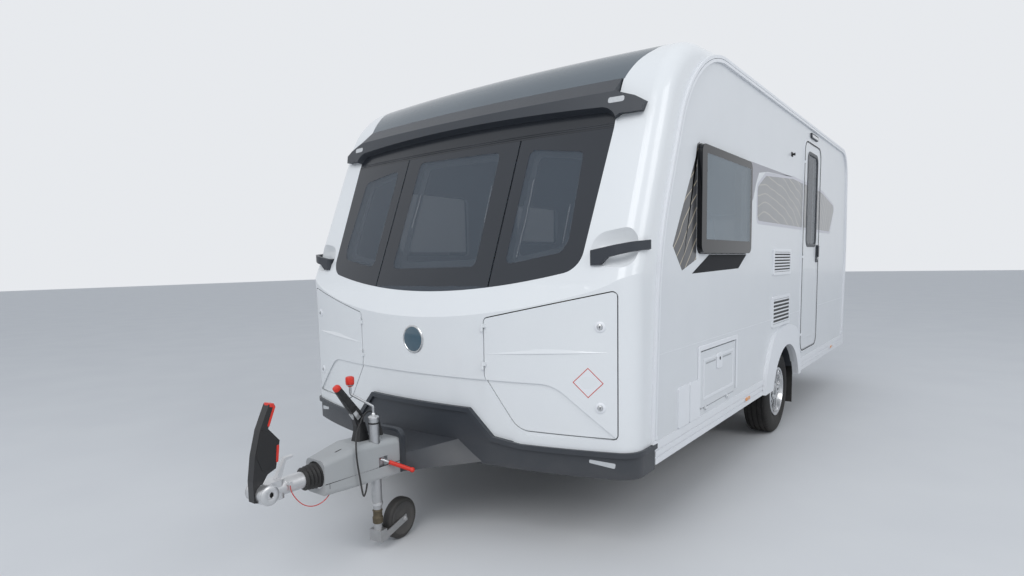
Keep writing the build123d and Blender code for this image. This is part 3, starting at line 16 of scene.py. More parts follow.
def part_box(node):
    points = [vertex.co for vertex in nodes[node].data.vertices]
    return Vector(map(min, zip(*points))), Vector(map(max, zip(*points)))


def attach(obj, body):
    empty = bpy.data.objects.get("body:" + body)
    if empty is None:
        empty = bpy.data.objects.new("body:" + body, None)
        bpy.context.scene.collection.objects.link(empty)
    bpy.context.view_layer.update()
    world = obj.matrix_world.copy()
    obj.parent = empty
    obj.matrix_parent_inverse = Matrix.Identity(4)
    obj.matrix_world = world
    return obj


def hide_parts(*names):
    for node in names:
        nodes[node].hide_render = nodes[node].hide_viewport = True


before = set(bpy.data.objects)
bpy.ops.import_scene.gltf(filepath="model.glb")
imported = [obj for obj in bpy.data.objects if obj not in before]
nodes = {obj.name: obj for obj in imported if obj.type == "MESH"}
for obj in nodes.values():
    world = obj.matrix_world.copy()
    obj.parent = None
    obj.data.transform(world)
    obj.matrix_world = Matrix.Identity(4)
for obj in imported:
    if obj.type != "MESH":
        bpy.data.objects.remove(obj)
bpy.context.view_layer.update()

# %% [markdown]
# The part's source measures lengths from the foot of the side rails at the
# front, in millimetres. One small function turns such a distance into the Y
# coordinate here, so that a fitting can be placed by the same numbers.

# %% Distances along the caravan
OVERALL_LENGTH = 6.270
HITCH_REACH = 1.265
WALL = 1.123
SIDES = ((1, "near"), (-1, "far"))


def along(distance):
    """Y of a place given by its distance behind the rail foot, in millimetres."""
    return distance / 1000 + HITCH_REACH - OVERALL_LENGTH / 2


print("rail foot at y =", round(along(0), 3))

# %% [markdown]
# The camera stands at the near front corner, a little over a metre high. It
# could be aimed with a constraint at an empty. Its direction and lens were
# solved from the photograph's vanishing points instead, so they are written as
# numbers, and a matrix places it in one step.

# %% Camera
YAW, PITCH, ROLL = -0.655385, -0.102157, -0.020952
forward = Vector((math.sin(YAW) * math.cos(PITCH), math.cos(YAW) * math.cos(PITCH), math.sin(PITCH)))
level = Vector((math.cos(YAW), -math.sin(YAW), 0))
upward = level.cross(forward)
right = math.cos(ROLL) * level + math.sin(ROLL) * upward
top = math.cos(ROLL) * upward - math.sin(ROLL) * level
lens = bpy.data.cameras.new("photo_lens")
lens.sensor_width = 36
lens.lens = 21.51
lens.shift_x = 0.0047
lens.shift_y = 0.0380
lens.clip_end = 200
camera = bpy.data.objects.new("photo_camera", lens)
camera.matrix_world = Matrix(
    (
        (right.x, top.x, -forward.x, 2.2576),
        (right.y, top.y, -forward.y, -4.3749),
        (right.z, top.z, -forward.z, 1.3292),
        (0, 0, 0, 1),
    )
)
bpy.context.scene.collection.objects.link(camera)
bpy.context.scene.camera = camera
print("camera at", [round(v, 3) for v in camera.location])

# %% [markdown]
# A plain studio: one broad lamp high in front, a weaker one on the door side
# and a pale sky all round. A picture of a real sky would give livelier
# reflections, but it would tint the white panels. The lamps are large and far
# away, so that shadows have soft edges, and weak enough that a white panel keeps
# its shading and doesn't wash out.

# %% Studio light
def link_object(thing):
    """Puts a new object into the scene and returns it."""
    bpy.context.scene.collection.objects.link(thing)
    return thing


def area_lamp(name, place, aim, size, power):
    """A square soft lamp that points at a place."""
    lamp = bpy.data.lights.new(name, "AREA")
    lamp.shape = "SQUARE"
    lamp.size = size
    lamp.energy = power
    holder = link_object(bpy.data.objects.new(name, lamp))
    holder.location = place
    holder.rotation_euler = (Vector(aim) - Vector(place)).to_track_quat("-Z", "Y").to_euler()
    return holder


area_lamp("front_lamp", (2.2, -9.0, 7.5), (0, 0, 1.2), 6, 345)
area_lamp("door_side_lamp", (9, -1.5, 6.5), (1, 0.5, 1.2), 5, 185)

bpy.context.scene.view_settings.view_transform = "Standard"

# %% [markdown]
# The sky is a plain colour. What the camera, glossy and see-through surfaces
# look at is split from what lights the object with the Light Path node, so each
# gets its own strength.

# %% Sky
def node(tree, kind, **settings):
    """A new shader node with its properties and input values set."""
    made = tree.nodes.new("ShaderNode" + kind)
    for name, value in settings.items():
        if name in made.inputs:
            made.inputs[name].default_value = value
        else:
            setattr(made, name, value)
    return made


def join(tree, start, end):
    """Links an output socket to an input socket."""
    tree.links.new(start, end)


world = bpy.data.worlds.new("studio_sky")
bpy.context.scene.world = world
world.use_nodes = True
sky = world.node_tree
sky.nodes.clear()
sky_out = node(sky, "OutputWorld")
sky_mix = node(sky, "MixShader")
lit = node(sky, "Background", Color=(0.86, 0.92, 1.0, 1), Strength=0.62)
seen = node(sky, "Background", Color=(0.80, 0.82, 0.85, 1), Strength=1.0)
path = node(sky, "LightPath")
either = node(sky, "Math", operation="MAXIMUM")
any_of = node(sky, "Math", operation="MAXIMUM")
join(sky, path.outputs["Is Camera Ray"], either.inputs[0])
join(sky, path.outputs["Is Glossy Ray"], either.inputs[1])
join(sky, either.outputs[0], any_of.inputs[0])
join(sky, path.outputs["Is Transmission Ray"], any_of.inputs[1])
join(sky, any_of.outputs[0], sky_mix.inputs[0])
join(sky, lit.outputs[0], sky_mix.inputs[1])
join(sky, seen.outputs[0], sky_mix.inputs[2])
join(sky, sky_mix.outputs[0], sky_out.inputs["Surface"])
print("sky nodes:", len(sky.nodes))

# %% [markdown]
# The floor is a wide pale sheet with a very faint mottling, so that it catches
# the caravan's shadow without a look of its own. One face is enough for it. Two
# helpers come first, since every material from here on starts the same way and
# mixes two tones.

# %% Floor
def new_material(name):
    """A node material; returns it with its tree and its main shader."""
    made = bpy.data.materials.new(name)
    made.use_nodes = True
    return made, made.node_tree, made.node_tree.nodes["Principled BSDF"]


def mix_tones(tree, factor, first, second):
    """Mixes two tones, each a colour or a socket, and returns the result's socket."""
    mixer = node(tree, "Mix", data_type="RGBA")
    join(tree, factor, mixer.inputs["Factor"])
    for label, tone in (("A", first), ("B", second)):
        if isinstance(tone, bpy.types.NodeSocket):
            join(tree, tone, mixer.inputs[label])
        else:
            mixer.inputs[label].default_value = (*tone, 1)
    return mixer.outputs["Result"]


FLOOR_HALF = 60
floor_mesh = bpy.data.meshes.new("studio_floor")
floor_corners = [(x * FLOOR_HALF, y * FLOOR_HALF, 0) for x, y in ((-1, -1), (1, -1), (1, 1), (-1, 1))]
floor_mesh.from_pydata(floor_corners, [], [(0, 1, 2, 3)])
studio_floor = link_object(bpy.data.objects.new("studio_floor", floor_mesh))
studio_floor.location.z = -0.0005
floor_finish, floor_tree, floor_bsdf = new_material("pale_floor")
floor_bsdf.inputs["Roughness"].default_value = 0.9
mottle = node(floor_tree, "TexNoise", Scale=1.5)
floor_place = node(floor_tree, "TexCoord")
join(floor_tree, floor_place.outputs["Object"], mottle.inputs["Vector"])
floor_tone = mix_tones(floor_tree, mottle.outputs["Fac"], (0.66, 0.67, 0.69), (0.72, 0.73, 0.74))
join(floor_tree, floor_tone, floor_bsdf.inputs["Base Color"])
studio_floor.data.materials.append(floor_finish)
print("floor laid")

# %% [markdown]
# Effects that several finishes share are made once, as small shader groups with
# named sockets: a slow drift of colour, a fine surface grain, and road dust
# that gathers low down. Painted images could do the same, but they need a flat
# layout of every piece. A group works on any shape, and each finish sets its own
# amounts. The drift of colour comes first.

# %% Drift of colour
def new_group(name, inputs, outputs):
    """An empty shader group with its sockets; returns the group and its ends."""
    group = bpy.data.node_groups.new(name, "ShaderNodeTree")
    for label, kind, value in inputs:
        socket = group.interface.new_socket(label, in_out="INPUT", socket_type=kind)
        socket.default_value = value
    for label, kind in outputs:
        group.interface.new_socket(label, in_out="OUTPUT", socket_type=kind)
    return group, group.nodes.new("NodeGroupInput"), group.nodes.new("NodeGroupOutput")


drift, drift_in, drift_out = new_group(
    "colour_drift",
    [("Tone A", "NodeSocketColor", (1, 1, 1, 1)), ("Tone B", "NodeSocketColor", (1, 1, 1, 1)),
     ("Scale", "NodeSocketFloat", 4.0)],
    [("Color", "NodeSocketColor")],
)
drift_place = node(drift, "TexCoord")
drift_noise = node(drift, "TexNoise", Detail=3)
join(drift, drift_place.outputs["Object"], drift_noise.inputs["Vector"])
join(drift, drift_in.outputs["Scale"], drift_noise.inputs["Scale"])
drift_tone = mix_tones(drift, drift_noise.outputs["Fac"],
                       drift_in.outputs["Tone A"], drift_in.outputs["Tone B"])
join(drift, drift_tone, drift_out.inputs["Color"])
print("drift group nodes:", len(drift.nodes))

# %% [markdown]
# Every painted or moulded surface has a fine grain that breaks up its shine. A
# displaced mesh would need millions of faces for that, so a noise tilts the
# normal a little instead.

# %% Surface grain
grain, grain_in, grain_out = new_group(
    "surface_grain",
    [("Scale", "NodeSocketFloat", 300.0), ("Depth", "NodeSocketFloat", 0.1)],
    [("Normal", "NodeSocketVector"), ("Height", "NodeSocketFloat")],
)
grain_place = node(grain, "TexCoord")
grain_noise = node(grain, "TexNoise", Detail=4)
grain_bump = node(grain, "Bump", Distance=0.001)
join(grain, grain_place.outputs["Object"], grain_noise.inputs["Vector"])
join(grain, grain_in.outputs["Scale"], grain_noise.inputs["Scale"])
join(grain, grain_noise.outputs["Fac"], grain_bump.inputs["Height"])
join(grain, grain_in.outputs["Depth"], grain_bump.inputs["Strength"])
join(grain, grain_bump.outputs["Normal"], grain_out.inputs["Normal"])
join(grain, grain_noise.outputs["Fac"], grain_out.inputs["Height"])
print("grain group nodes:", len(grain.nodes))

# %% [markdown]
# Dust gathers low down on anything that is towed on roads. The mask fades out
# with height and a noise breaks it into patches. Painting it by hand would look
# as good, but a mask from height fits every piece at once.

# %% Road dust
dust, dust_in, dust_out = new_group(
    "low_dust",
    [("Amount", "NodeSocketFloat", 0.3), ("Top", "NodeSocketFloat", 0.6)],
    [("Mask", "NodeSocketFloat")],
)
dust_place = node(dust, "TexCoord")
dust_split = node(dust, "SeparateXYZ")
dust_fade = node(dust, "MapRange", **{"To Min": 1, "To Max": 0})
dust_noise = node(dust, "TexNoise", Scale=9, Detail=6)
dust_spread = node(dust, "Math", operation="MULTIPLY")
dust_strength = node(dust, "Math", operation="MULTIPLY")
join(dust, dust_place.outputs["Object"], dust_split.inputs[0])
join(dust, dust_split.outputs["Z"], dust_fade.inputs["Value"])
join(dust, dust_in.outputs["Top"], dust_fade.inputs["From Max"])
join(dust, dust_place.outputs["Object"], dust_noise.inputs["Vector"])
join(dust, dust_fade.outputs[0], dust_spread.inputs[0])
join(dust, dust_noise.outputs["Fac"], dust_spread.inputs[1])
join(dust, dust_spread.outputs[0], dust_strength.inputs[0])
join(dust, dust_in.outputs["Amount"], dust_strength.inputs[1])
join(dust, dust_strength.outputs[0], dust_out.inputs["Mask"])
print("shader groups:", [g.name for g in bpy.data.node_groups])

# %% [markdown]
# Most finishes on a caravan are paint, moulded plastic or metal. Each could be a
# node tree of its own, but they differ only in their values. So one function
# makes them all: two close tones that drift into each other, a grain in the
# surface, and a share of dust near the road.

# %% Plain finishes
DUST_TONE = (0.34, 0.31, 0.27)


def place_group(tree, group, **values):
    """Puts a shared effect into a material and sets its inputs."""
    placed = tree.nodes.new("ShaderNodeGroup")
    placed.node_tree = group
    for name, value in values.items():
        placed.inputs[name.replace("_", " ")].default_value = value
    return placed


def finish(name, tone, other=None, rough=0.5, metal=0.0, coat=0.0, scale=4.0,
           grain_scale=400.0, grain_depth=0.05, dusty=0.0, dust_top=0.6, shine=0.5):
    """A painted, moulded or metal surface."""
    made, tree, bsdf = new_material(name)
    for label, value in (("Roughness", rough), ("Metallic", metal), ("Coat Weight", coat),
                         ("Coat Roughness", 0.08), ("Specular IOR Level", shine)):
        bsdf.inputs[label].default_value = value
    tones = place_group(tree, drift, Tone_A=(*tone, 1), Tone_B=(*(other or tone), 1), Scale=scale)
    surface = place_group(tree, grain, Scale=grain_scale, Depth=grain_depth)
    join(tree, surface.outputs["Normal"], bsdf.inputs["Normal"])
    tone_out = tones.outputs["Color"]
    if dusty:
        low = place_group(tree, dust, Amount=dusty, Top=dust_top)
        tone_out = mix_tones(tree, low.outputs["Mask"], tone_out, DUST_TONE)
    join(tree, tone_out, bsdf.inputs["Base Color"])
    return made


def dress(finish_made, *names):
    """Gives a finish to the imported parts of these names."""
    for name in names:
        part = nodes[name]
        part.data.materials.clear()
        part.data.materials.append(finish_made)


print("effects are ready to be placed:", drift.name, grain.name, dust.name)

# %% [markdown]
# The body is white twice over. The front and rear are thick glossy mouldings,
# and the walls are thin painted sheet with a duller, finer grain. The trims are
# slightly brighter. Three finishes keep them apart, as on the real caravan. Dark
# mouldings, glossy film and matt print follow.

# %% Finishes of the body
moulded_white = finish("moulded_white", (0.76, 0.78, 0.80), (0.80, 0.82, 0.83), rough=0.28,
                       coat=0.5, grain_scale=60, grain_depth=0.03, dusty=0.25, dust_top=0.75)
sheet_white = finish("sheet_white", (0.70, 0.72, 0.74), (0.74, 0.76, 0.78), rough=0.34,
                     coat=0.2, grain_scale=900, grain_depth=0.12, dusty=0.3, dust_top=0.8)
rail_white = finish("rail_white", (0.78, 0.80, 0.83), (0.82, 0.83, 0.85), rough=0.3,
                    grain_scale=500, grain_depth=0.04, dusty=0.45, dust_top=0.6)
dark_moulding = finish("dark_moulding", (0.026, 0.031, 0.040), (0.034, 0.040, 0.050), rough=0.42,
                       grain_scale=1400, grain_depth=0.3, dusty=0.35, dust_top=0.6)
cover_grey = finish("cover_grey", (0.36, 0.38, 0.39), (0.42, 0.43, 0.44), rough=0.55,
                    grain_scale=1200, grain_depth=0.25, dusty=0.5, dust_top=0.7)
gloss_black = finish("gloss_black", (0.014, 0.017, 0.022), (0.018, 0.021, 0.027), rough=0.22,
                     grain_scale=30, grain_depth=0.01)
print_black = finish("print_black", (0.012, 0.013, 0.016), (0.018, 0.019, 0.022), rough=0.6,
                     grain_scale=500, grain_depth=0.05, shine=0.15)
print("body finishes:", moulded_white.name, sheet_white.name, rail_white.name)

# %% [markdown]
# The chassis and the hitch are steel dipped in zinc, which dries in grey patches,
# so those finishes have a fine scale of drift. The tyres and the rubber parts
# are rough and dark, and dust shows most on them. The lamp lenses have a strong
# grain below a clear coat, in place of the moulded prisms of real lenses.

# %% Finishes of the chassis, the hitch and the lamps
galvanised = finish("galvanised", (0.42, 0.43, 0.45), (0.55, 0.56, 0.57), rough=0.42, metal=0.9,
                    scale=60, grain_scale=300, grain_depth=0.15, dusty=0.5, dust_top=0.5)
zinc_bright = finish("zinc_bright", (0.60, 0.61, 0.62), (0.70, 0.70, 0.71), rough=0.32, metal=0.85,
                     scale=30, grain_scale=250, grain_depth=0.1, dusty=0.3, dust_top=0.5)
black_paint = finish("black_paint", (0.012, 0.012, 0.013), (0.02, 0.02, 0.021), rough=0.38,
                     grain_scale=900, grain_depth=0.1)
alloy = finish("alloy", (0.72, 0.73, 0.75), (0.80, 0.81, 0.82), rough=0.22, metal=1.0, coat=0.4,
               grain_scale=600, grain_depth=0.03, dusty=0.3, dust_top=0.5)
tyre_black = finish("tyre_black", (0.012, 0.012, 0.013), (0.020, 0.020, 0.020), rough=0.75,
                    grain_scale=900, grain_depth=0.3, dusty=0.16, dust_top=0.45, shine=0.3)
soft_black = finish("soft_black", (0.012, 0.012, 0.013), (0.02, 0.02, 0.02), rough=0.6,
                    grain_scale=700, grain_depth=0.2, dusty=0.2, dust_top=0.5)
grip_red = finish("grip_red", (0.62, 0.025, 0.012), (0.70, 0.035, 0.018), rough=0.35,
                  grain_scale=600, grain_depth=0.08)
lens_clear = finish("lens_clear", (0.46, 0.48, 0.50), (0.60, 0.61, 0.62), rough=0.12, coat=0.9,
                    scale=90, grain_scale=260, grain_depth=0.5)
lens_red = finish("lens_red", (0.42, 0.008, 0.010), (0.5, 0.012, 0.012), rough=0.15, coat=0.8)
underside_board = finish("underside_board", (0.10, 0.09, 0.08), (0.15, 0.13, 0.11), rough=0.8,
                         grain_scale=200, grain_depth=0.3)
print("finishes so far:", len(bpy.data.materials) - 1)

# %% [markdown]
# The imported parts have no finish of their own. Each gets one by its name. The
# parts themselves aren't moved or changed, since their shape is the solid model.

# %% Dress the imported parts
dress(moulded_white, "front_moulding", "rear_panel", "near_locker_door", "far_locker_door")
dress(sheet_white, "near_side_wall", "far_side_wall", "door_panel", "battery_lid",
      "service_door", "roof")
dress(rail_white, "awning_rails", "side_skirts", "arch_trims", "door_frame", "service_hatches",
      "wall_vents")
dress(dark_moulding, "front_bumper", "hitch_fairing", "front_brow", "grab_handles",
      "door_handle", "wheel_boxes", "locker_boxes")
dress(gloss_black, "front_lintel")
dress(lens_clear, "front_lamps")
dress(cover_grey, "hitch_cover")
dress(galvanised, "axle", "chassis_rails", "corner_steadies", "drawbar", "drawbar_legs",
      "jockey_tube", "jockey_fork", "jockey_crank")
dress(zinc_bright, "coupling_head", "coupling_lever")
dress(black_paint, "handbrake", "stabiliser_handle")
dress(alloy, "near_rim", "far_rim")
dress(tyre_black, "near_tyre", "far_tyre")
dress(soft_black, "gaiter", "mudflaps", "jockey_wheel")
dress(grip_red, "clamp_lever")
dress(lens_red, "rear_lamps")
dress(underside_board, "floor")
print("plain finishes:", len(bpy.data.materials))

# %% [markdown]
# Caravan windows are tinted acrylic. Light comes through them, so the cabin
# shows dimly, and their faces mirror the sky at a shallow angle. Full
# refraction would be truer, but these are thin flat sheets that hardly bend
# light. A plain share of transparency looks the same and renders fast.

# %% Window panes
def tinted(name, tone, clear, rough=0.04):
    """A see-through tinted pane: clear is the share of light let through."""
    made, tree, bsdf = new_material(name)
    bsdf.inputs["Roughness"].default_value = rough
    bsdf.inputs["Alpha"].default_value = 1 - clear
    tones = place_group(tree, drift, Tone_A=(*tone, 1),
                        Tone_B=(*(v * 1.25 for v in tone), 1), Scale=2.0)
    join(tree, tones.outputs["Color"], bsdf.inputs["Base Color"])
    return made


front_tint = tinted("front_tint", (0.075, 0.095, 0.120), 0.50)
# The roof panes' paler tone is partly the acrylic's own tint and partly a painted sky reflection.
roof_tint_and_painted_sky = tinted("roof_tint_and_painted_sky", (0.125, 0.150, 0.172), 0.15, rough=0.10)
dress(front_tint, "front_windows", "door_window")
dress(roof_tint_and_painted_sky, "skylight", "roof_light")
print("panes tinted")

# %% [markdown]
# The side and rear windows are lids of one sheet each, black round the edge and
# clear in the middle. Separate pieces for border and glass would leave a joint.
# So a small group puts out a mask that is 1 inside an upright rectangle, and the
# border is part of the acrylic as on the real lid.

# %% Mask of a clear area
field, field_in, field_out = new_group(
    "clear_field",
    [("Axis", "NodeSocketVector", (0, 1, 0)), ("Middle", "NodeSocketFloat", 0.0),
     ("Height", "NodeSocketFloat", 1.6), ("Half Width", "NodeSocketFloat", 0.3),
     ("Half Height", "NodeSocketFloat", 0.2)],
    [("Mask", "NodeSocketFloat")],
)
field_place = node(field, "TexCoord")
field_split = node(field, "SeparateXYZ")
field_dot = node(field, "VectorMath", operation="DOT_PRODUCT")
join(field, field_place.outputs["Object"], field_dot.inputs[0])
join(field, field_in.outputs["Axis"], field_dot.inputs[1])
join(field, field_place.outputs["Object"], field_split.inputs[0])
limits = []
for reading, centre, half in ((field_dot.outputs["Value"], "Middle", "Half Width"),
                              (field_split.outputs["Z"], "Height", "Half Height")):
    near = node(field, "Math", operation="SUBTRACT")
    far = node(field, "Math", operation="ABSOLUTE")
    within = node(field, "Math", operation="LESS_THAN")
    join(field, reading, near.inputs[0])
    join(field, field_in.outputs[centre], near.inputs[1])
    join(field, near.outputs[0], far.inputs[0])
    join(field, far.outputs[0], within.inputs[0])
    join(field, field_in.outputs[half], within.inputs[1])
    limits.append(within)
both = node(field, "Math", operation="MULTIPLY")
join(field, limits[0].outputs[0], both.inputs[0])
join(field, limits[1].outputs[0], both.inputs[1])
join(field, both.outputs[0], field_out.inputs["Mask"])

print("clear field group nodes:", len(field.nodes))

# %% [markdown]
# The lids' finish places that mask once for each clear area and joins them with
# a maximum. Outside them the acrylic is black and closed, and inside it is grey
# and lets a share of the light through. Three areas serve both side walls,
# because the mask only looks along the caravan and up.

# %% Finish of the window lids
LID_BLACK = (0.010, 0.011, 0.013)
LID_TINT = (0.17, 0.21, 0.24)


def lid_finish(name, axis, openings, tone, clear):
    """Acrylic that is clear inside the given rectangles and black elsewhere."""
    made, tree, bsdf = new_material(name)
    bsdf.inputs["Roughness"].default_value = 0.05
    bsdf.inputs["Specular IOR Level"].default_value = 0.28
    mask = None
    for front, rear, low, high in openings:
        spot = place_group(tree, field, Axis=axis, Middle=(front + rear) / 2, Height=(low + high) / 2,
                           Half_Width=abs(rear - front) / 2, Half_Height=(high - low) / 2)
        if mask is None:
            mask = spot.outputs["Mask"]
        else:
            joined = node(tree, "Math", operation="MAXIMUM")
            join(tree, mask, joined.inputs[0])
            join(tree, spot.outputs["Mask"], joined.inputs[1])
            mask = joined.outputs[0]
    haze = place_group(tree, drift, Tone_A=(*tone, 1), Tone_B=(*(v * 1.5 for v in tone), 1), Scale=1.5)
    through = node(tree, "MapRange", **{"To Min": 1.0, "To Max": 1 - clear})
    join(tree, mix_tones(tree, mask, LID_BLACK, haze.outputs["Color"]), bsdf.inputs["Base Color"])
    join(tree, mask, through.inputs["Value"])
    join(tree, through.outputs[0], bsdf.inputs["Alpha"])
    return made


lounge_clear = (along(628), along(1376), 1.435, 1.868)
kitchen_clear = (along(2050), along(2726), 1.540, 1.860)
washroom_clear = (along(4170), along(4440), 1.550, 1.860)
dress(lid_finish("side_lids", (0, 1, 0), (lounge_clear, kitchen_clear, washroom_clear),
                 LID_TINT, 0.35), "side_windows")
dress(lid_finish("rear_lid", (1, 0, 0), ((-0.585, 0.585, 1.400, 1.800),), LID_TINT, 0.35),
      "rear_window")
print("window lids dressed")

# %% [markdown]
# Inside, the seat bases, the gas locker and the kitchen units are faced with
# pale wood. Rings cut through at an angle would give a truer figure, but it is
# only seen through dark panes. A stretched noise gives long grain, and the
# cushions' cloth is a plain finish with a coarse grain.

# %% Cabin wood and cloth
def wood(name, pale, dark, axis):
    """Veneer with its grain along one axis (0, 1 or 2)."""
    made, tree, bsdf = new_material(name)
    bsdf.inputs["Roughness"].default_value = 0.4
    place = node(tree, "TexCoord")
    stretch = node(tree, "Mapping", Scale=[1.2 if i == axis else 26 for i in range(3)])
    streaks = node(tree, "TexNoise", Scale=2, Detail=6)
    join(tree, place.outputs["Object"], stretch.inputs["Vector"])
    join(tree, stretch.outputs[0], streaks.inputs["Vector"])
    join(tree, mix_tones(tree, streaks.outputs["Fac"], pale, dark), bsdf.inputs["Base Color"])
    return made


oak = wood("oak", (0.42, 0.29, 0.17), (0.26, 0.16, 0.09), 1)
seat_cloth = finish("seat_cloth", (0.36, 0.33, 0.28), (0.44, 0.41, 0.36), rough=0.9, scale=30,
                    grain_scale=1500, grain_depth=0.6)
dress(oak, "gas_locker", "furniture", "settee_bases")
dress(seat_cloth, "settee_cushions")
print("cabin finished")

# %% [markdown]
# The small fittings are built as meshes. Boxes and cylinders cut with modifiers
# would do for some, but most of them follow a curved or leaning surface. So
# each is drawn as an outline and laid on its surface. First come two helpers:
# one finishes a mesh as an object that moves with its body, and the other
# rounds the corners of an outline.

# %% Finished pieces and rounded outlines
def add_piece(name, shape, surface, body="caravan", edge=0.0, smooth=40):
    """Turns a bmesh into a finished object that rides on a body."""
    bmesh.ops.recalc_face_normals(shape, faces=shape.faces)
    mesh = bpy.data.meshes.new(name)
    shape.to_mesh(mesh)
    shape.free()
    made = link_object(bpy.data.objects.new(name, mesh))
    made.data.materials.append(surface)
    if edge:
        bevel = made.modifiers.new("edge", "BEVEL")
        bevel.width = edge
        bevel.segments = 2
        bevel.angle_limit = math.radians(30)
    made.data.shade_smooth()
    made.data.set_sharp_from_angle(angle=math.radians(smooth))
    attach(made, body)
    return made


def rounded(corners, radius, steps=6):
    """An outline with each corner turned into a short arc."""
    outline = []
    count = len(corners)
    for i, corner in enumerate(corners):
        here = Vector(corner)
        before = Vector(corners[i - 1]) - here
        after = Vector(corners[(i + 1) % count]) - here
        half = before.angle(after) / 2
        reach = min(radius / math.tan(half), 0.49 * before.length, 0.49 * after.length)
        size = reach * math.tan(half)
        middle = here + (before.normalized() + after.normalized()).normalized() * (size / math.sin(half))
        start = here + before.normalized() * reach - middle
        end = here + after.normalized() * reach - middle
        turn = start.angle_signed(end)
        for k in range(steps + 1):
            a = -turn * k / steps
            outline.append((
                middle.x + start.x * math.cos(a) - start.y * math.sin(a),
                middle.y + start.x * math.sin(a) + start.y * math.cos(a),
            ))
    return outline


print("pieces can be added")

# %% [markdown]
# A plate lies over a surface and a ring runs between two outlines. A place
# function says where (u, v, w) lies: u along, v up and w out of the surface. The
# ring sends rays from its middle through both outlines, so that the two edges
# get corners at the same angles however they were drawn.

# %% Plates and rings
def skin(shape, loops, capped=True, closed=False):
    """Faces between neighbouring loops of corners, with a cap at each end or joined round."""
    following = loops[1:] + loops[:1] if closed else loops[1:]
    for a, b in zip(loops, following):
        for i in range(len(a)):
            j = (i + 1) % len(a)
            shape.faces.new((a[i], a[j], b[j], b[i]))
    if capped and not closed:
        shape.faces.new(loops[0][::-1])
        shape.faces.new(loops[-1])
    return shape


def plate(outline, place, low, high, into=None):
    """A closed plate over an outline, between two heights above the surface."""
    shape = into or bmesh.new()
    loops = [[shape.verts.new(place(u, v, height)) for u, v in outline] for height in (low, high)]
    return skin(shape, loops)


def ray_hit(outline, middle, angle):
    """Where a ray from the middle leaves an outline that it sees all round."""
    step = Vector((math.cos(angle), math.sin(angle)))
    best = None
    for i, first in enumerate(outline):
        p = Vector(first) - middle
        e = Vector(outline[(i + 1) % len(outline)]) - Vector(first)
        cross = step.x * e.y - step.y * e.x
        if abs(cross) < 1e-12:
            continue
        t = (p.x * e.y - p.y * e.x) / cross
        share = (p.x * step.y - p.y * step.x) / cross
        if t > 0 and -1e-6 <= share <= 1 + 1e-6 and (best is None or t > best):
            best = t
    return middle + step * best


def ring(outer, inner, place, low, high, into=None, extra=72):
    """A closed frame between two outlines, between two heights."""
    shape = into or bmesh.new()
    middle = sum((Vector(v) for v in inner), Vector((0, 0))) / len(inner)
    angles = {round(2 * math.pi * k / extra, 6) for k in range(extra)}
    for u, v in outer + inner:
        angles.add(round(math.atan2(v - middle.y, u - middle.x) % (2 * math.pi), 6))
    loops = []
    for outline, height in ((outer, low), (inner, low), (inner, high), (outer, high)):
        hits = [ray_hit(outline, middle, angle) for angle in sorted(angles)]
        loops.append([shape.verts.new(place(h.x, h.y, height)) for h in hits])
    return skin(shape, loops, closed=True)


print("plates and rings can be laid")

# %% [markdown]
# Locks, caps and hubs are turned shapes: a profile swung round an axis. The Screw
# modifier does that too, but here the profile can be given where it stands. A bar
# is a curve with a round section, which bends smoothly and stays light.

# %% Turned shapes and bars
def turned(profile, base, axis, steps=48, into=None):
    """A turned shape: the profile gives radius and height along the axis."""
    shape = into or bmesh.new()
    spin = Vector((0, 0, 1)).rotation_difference(Vector(axis)).to_matrix()
    loops = []
    for radius, height in profile:
        if radius < 1e-6:
            loops.append([shape.verts.new(Vector(base) + spin @ Vector((0, 0, height)))])
            continue
        loops.append([
            shape.verts.new(Vector(base) + spin @ Vector((
                radius * math.cos(2 * math.pi * k / steps),
                radius * math.sin(2 * math.pi * k / steps), height)))
            for k in range(steps)
        ])
    for a, b in zip(loops, loops[1:]):
        for k in range(steps):
            j = (k + 1) % steps
            if len(a) == 1:
                shape.faces.new((a[0], b[j], b[k]))
            elif len(b) == 1:
                shape.faces.new((a[k], a[j], b[0]))
            else:
                shape.faces.new((a[k], a[j], b[j], b[k]))
    return shape


def bar(name, points, radius, surface, body="caravan", order=2):
    """A round bar or cable along points; order 3 lets it run in soft curves."""
    curve = bpy.data.curves.new(name, "CURVE")
    curve.dimensions = "3D"
    curve.bevel_depth = radius
    curve.bevel_resolution = 4
    curve.resolution_u = 8
    curve.use_fill_caps = True
    line = curve.splines.new("NURBS")
    line.points.add(len(points) - 1)
    for control, spot in zip(line.points, points):
        control.co = (*spot, 1)
    line.order_u = order
    line.use_endpoint_u = True
    made = link_object(bpy.data.objects.new(name, curve))
    curve.materials.append(surface)
    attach(made, body)
    return made


print("turned shapes and bars can be made")

# %% [markdown]
# Two cables hang at the hitch. The black supply lead comes out of the cover
# behind the jockey wheel's tube, loops over it and drops past the cover's side
# to a clip under it. The red breakaway cable hangs from the coupling to a clip
# on the drawbar's tube. Both are held at their two ends, so they sag between them. A curve with
# soft control points gives that line with few numbers.

